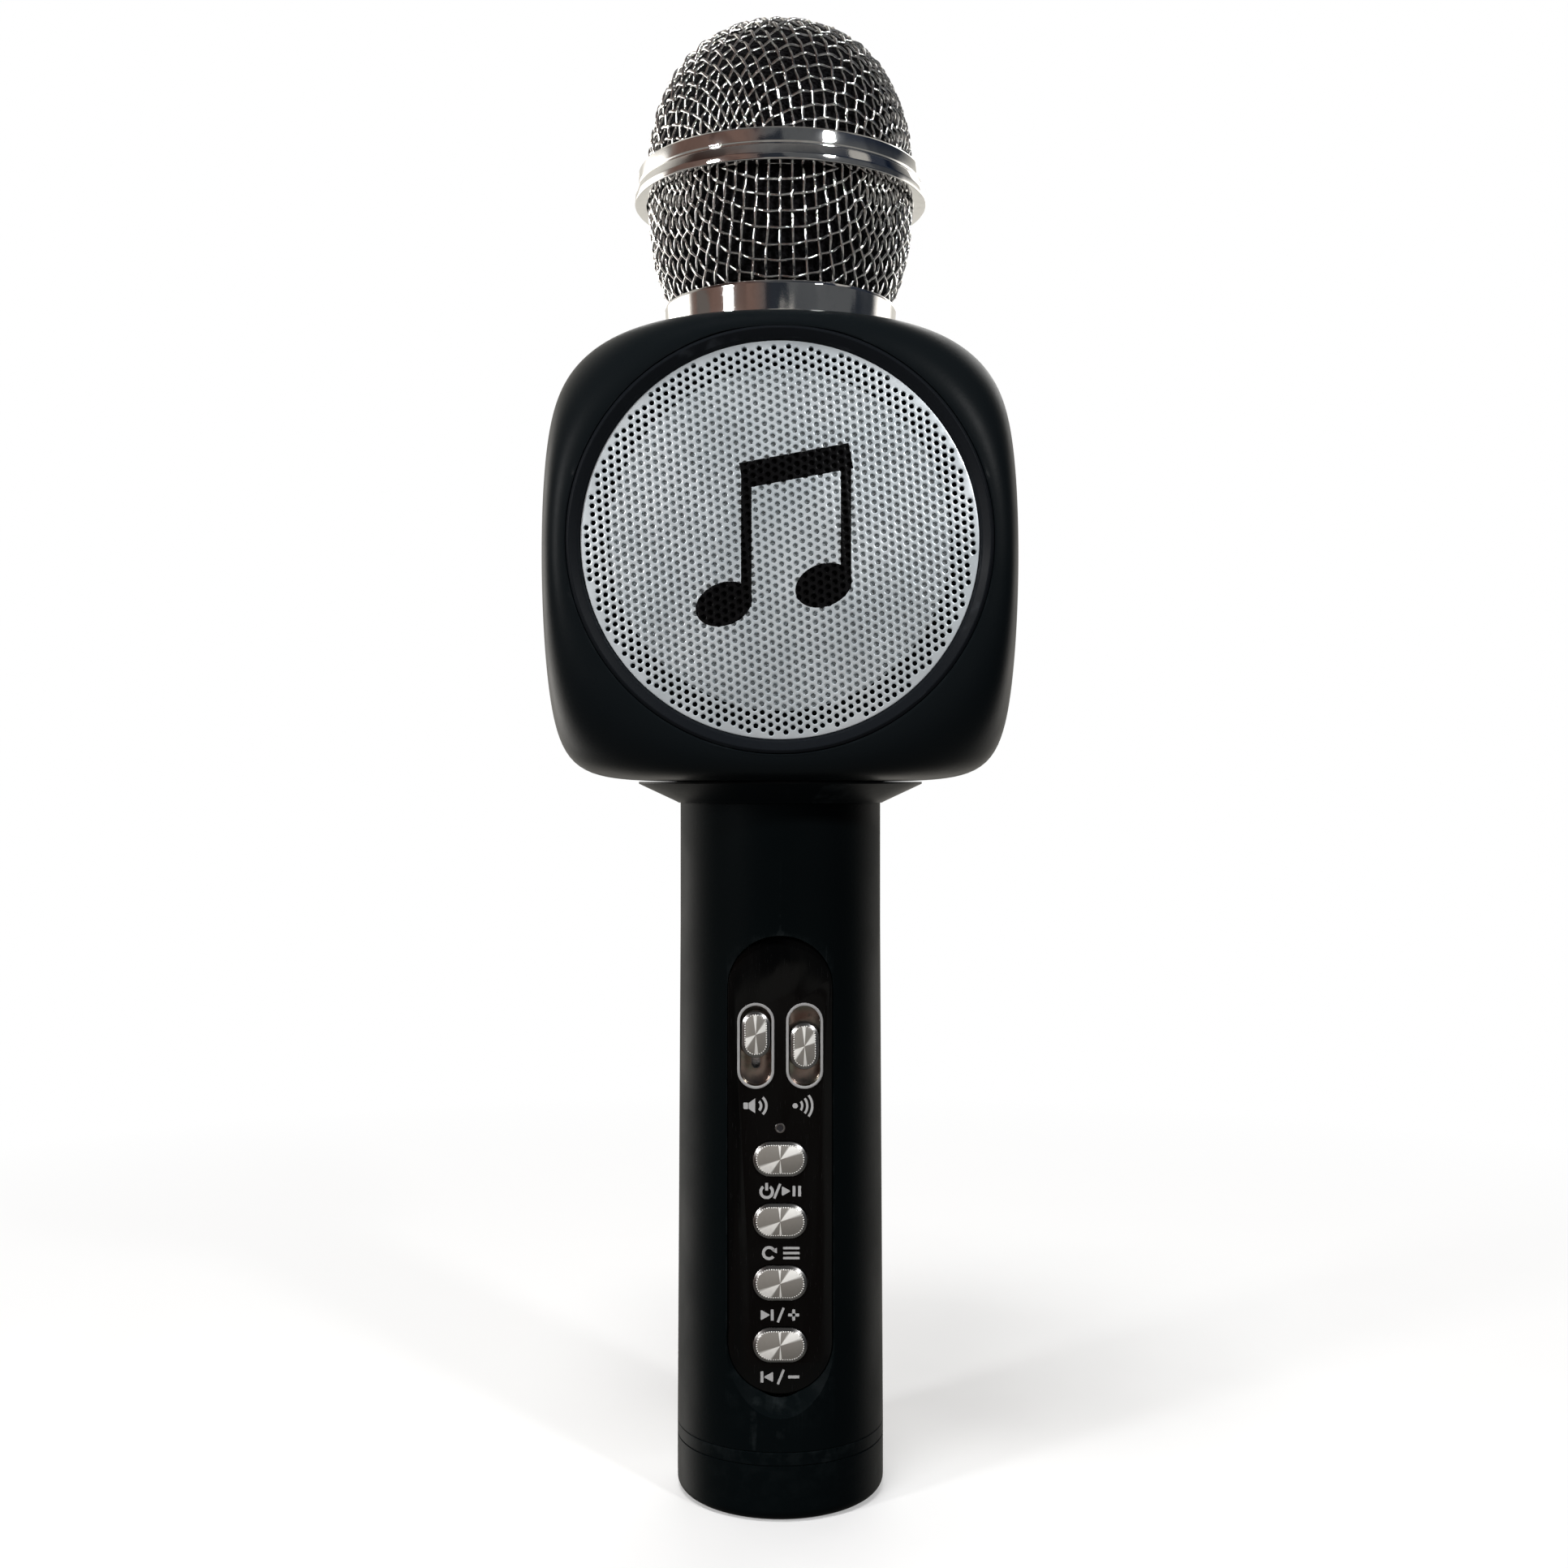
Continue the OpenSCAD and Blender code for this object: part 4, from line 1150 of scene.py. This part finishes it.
def panel():
    back = -high("control_panel")[1]
    face = outlines((panel_w, panel_l), [(0, panel_depth - 1.4), (0, panel_depth - 0.12),
                                         (0.05, panel_depth - 0.04), (0.14, panel_depth)], 96)
    plate = make("panel_plate", at(face, 0, panel_z), LOOKS["panel_gloss"])
    openings = [(side + "_tray", stadium(*TRAY, 0.15, 64)) for side in ("volume", "echo")]
    openings += [(name + "_button", stadium(*BUTTON, -0.1, 64)) for name in BUTTONS]
    openings.append(("indicator_lens", circle(0.87, 32)))
    combine(plate, [at(prism(outline, *PANEL_CUT), *middle(node)[::2]) for node, outline in openings])
    belongs(plate, HANDSET, "panel_gloss", "control_panel")
    posts = [at(prism(circle(1.9, 32), back, panel_depth - 1.4), 0, z) for z in POSTS_Z]
    piece("panel_posts", join(*posts), HANDSET, "panel_gloss", look=LOOKS["inner_plastic"])


def beads(size, inset, depth, r, gap):
    """A row of cut facets round a stadium: a six-sided point for each bead."""
    path = np.array(stadium(*size, inset, 64))
    path = np.vstack([path, path[:1]])
    reach = np.concatenate([[0], np.cumsum(np.hypot(*np.diff(path, axis=0).T))])
    count = int(reach[-1] / gap)
    solids = []
    for k in range(count):
        s = reach[-1] * k / count
        u, v = np.interp(s, reach, path[:, 0]), np.interp(s, reach, path[:, 1])
        rim = [(u + r * cos(pi * i / 3), v + r * sin(pi * i / 3), depth) for i in range(6)]
        points = rim + [(u, v, depth + 0.8 * r), (u, v, depth - r)]
        faces = [(i, (i + 1) % 6, 6) for i in range(6)] + [((i + 1) % 6, i, 7) for i in range(6)]
        solids.append((points, faces))
    return join(*solids)


def tray(side):
    """A satin rim on the panel round a dark polished cup with the lever's slot in its floor."""
    x, _, z = middle(side + "_tray")
    rim = -low(side + "_tray")[1]
    floor_at = -high(side + "_tray")[1] + 0.4
    around = [(0, panel_depth - 0.3), (0, rim - 0.12), (0.05, rim - 0.03), (0.12, rim), (0.36, rim),
              (0.43, rim - 0.03), (0.47, rim - 0.12), (0.47, panel_depth - 0.3)]
    edge = outlines(TRAY, around, closed=True)
    node = side + "_tray"
    piece(node + "_rim", at(edge, x, z), HANDSET, "control_chrome", node, look=RIM, sharp=40)
    levels = [(0.2, floor_at - 0.4), (0.2, rim - 0.35), (0.48, rim - 0.3), (0.5, floor_at + 0.12),
              (0.54, floor_at + 0.04), (0.62, floor_at)]
    slot = [(0, floor_at), (0, floor_at - 0.4)]
    cup = loft(loops(TRAY, levels) + loops(LEVER_SLOT, slot), closed=True)
    piece(node + "_cup", at(cup, x, z), HANDSET, "control_chrome", look=CUP, sharp=50)


def cap(node, size, foot, body, extra=()):
    """A bright cap: straight sides, a broad rounded chamfer, a spun face and a row of cut facets."""
    x, _, z = middle(node)
    top = -low(node)[1]
    levels = [(0, foot), (0, top - 0.62), (0.04, top - 0.5), (0.12, top - 0.42), (0.2, top - 0.38),
              (0.62, top - 0.2), (0.68, top - 0.16), (1.0, top - 0.16)]
    shell = join(*[at(solid, x, z) for solid in (outlines(size, levels), *extra)])
    piece(node + "_cap", shell, body, "control_chrome", node, sharp=30)
    face = outlines(size, [(0.72, top - 0.22), (0.72, top - 0.1), (0.76, top - 0.07)])
    # the spun face carries painted highlights in its colour
    piece(node + "_face", at(face, x, z), body, "control_chrome", look=SPUN_PAINTED_HIGHLIGHT, sharp=60, origin=(x, -top, z))
    row = beads(size, 0.66, top - 0.15, 0.15, 0.4)
    # the facets carry a painted glint in their colour
    piece(node + "_glint_facets", at(row, x, z), body, "control_chrome", look=FACETS_PAINTED_GLINT, sharp=10)


def controls():
    for side in ("volume", "echo"):
        tray(side)
        cap(side + "_knob", KNOB, -high(side + "_knob")[1], side)
    for name in BUTTONS:
        node = name + "_button"
        flange = panel_depth - 1.5
        stem = prism(circle(1.1, 32), -high(node)[1], flange - 0.8)
        lip = outlines((BUTTON[0] + 1.1, BUTTON[1] + 1.1), [(0, flange - 0.8), (0, flange)])
        cap(node, BUTTON, flange, name, (stem, lip))
    x, _, z = middle("indicator_lens")
    ring = rounded([(0.55, panel_depth - 0.6), (0.86, panel_depth - 0.6), (0.86, panel_depth + 0.04),
                    (0.55, panel_depth + 0.04)], [0, 0, 0.1, 0.1])
    chromed = LOOKS["control_chrome"]
    piece("indicator_rim", at(lathe(ring, 48), x, z), HANDSET, "lens", look=chromed, sharp=40)


# ---- printed signs ----

def bar(u, v, width, height, turn=0):
    c, s = cos(radians(turn)), sin(radians(turn))
    box = oblong(width, height, min(width, height) * 0.2, 2)
    return [(u + c * x - s * y, v + s * x + c * y) for x, y in box]


def triangle(u, v, size, way=1):
    points = [(-0.45 * size * way, 0.5 * size), (0.45 * size * way, 0), (-0.45 * size * way, -0.5 * size)]
    return rounded([(u + x, v + y) for x, y in points], size * 0.08, 2)


def arc(u, v, r, width, start, end, steps=20):
    turns = [radians(start + (end - start) * k / steps) for k in range(steps + 1)]
    outside = [(u + (r + width / 2) * cos(a), v + (r + width / 2) * sin(a)) for a in turns]
    inside = [(u + (r - width / 2) * cos(a), v + (r - width / 2) * sin(a)) for a in reversed(turns)]
    return outside + inside


def signs():
    """Plain pictograms in place of words: loudness, echo, power and play, source, next and previous."""
    line = 0.5
    slash = bar(0.1, 0, 0.42, 2.7, -22)
    minus = bar(2.3, 0, 1.9, line)
    loudness = [bar(-1.7, 0, 0.8, 1.1), [(-1.2, -0.5), (-0.1, -1.25), (-0.1, 1.25), (-1.2, 0.5)]]
    loudness += [arc(-0.1, 0, r, line * 0.9, -48, 48) for r in (1.0, 1.9)]
    echo = [[(u - 1.6, v) for u, v in circle(0.45, 24)]]
    echo += [arc(-1.6, 0, r, line * 0.8, -38, 38) for r in (1.2, 2.05, 2.9)]
    power = [arc(-2.3, -0.1, 1.0, line, -235, 55), bar(-2.3, 0.75, line, 1.3), bar(-0.5, 0, 0.42, 2.7, -22),
             triangle(1.05, 0, 1.7), bar(2.35, 0, line, 1.8), bar(3.3, 0, line, 1.8)]
    source = [arc(-1.9, 0, 0.95, line, 30, 320), triangle(-1.0, 0.42, 1.0, -1)]
    source += [bar(1.9, k * 0.85, 2.8, 0.42) for k in (-1, 0, 1)]
    forward = [triangle(-2.5, 0, 1.8), bar(-1.35, 0, line, 1.9), slash, minus, bar(2.3, 0, line, 1.9)]
    back = [bar(-3.1, 0, line, 1.9), triangle(-2.0, 0, 1.8, -1), slash, minus]

    slider_x = high("volume_tray")[0] - TRAY[0] / 2
    slider_z = low("volume_tray")[2] - 2.9
    places = [(slider_x, slider_z), (-slider_x, slider_z)]
    places += [(0, middle(name + "_button")[2] - 5.5) for name in BUTTONS]
    shapes = []
    for sign, place in zip((loudness, echo, power, source, forward, back), places):
        shapes += [at(prism(outline, panel_depth - 0.02, panel_depth + 0.02), *place) for outline in sign]
    piece("panel_signs", join(*shapes), HANDSET, "panel_gloss", look=INK)


dress_nodes()
camera()
studio()
floor()
upper_mesh()
lower_mesh()
head_ring()
head_collar()
foam_lining()
housing()
grilles()
handle()
neck()
base()
panel()
controls()
signs()
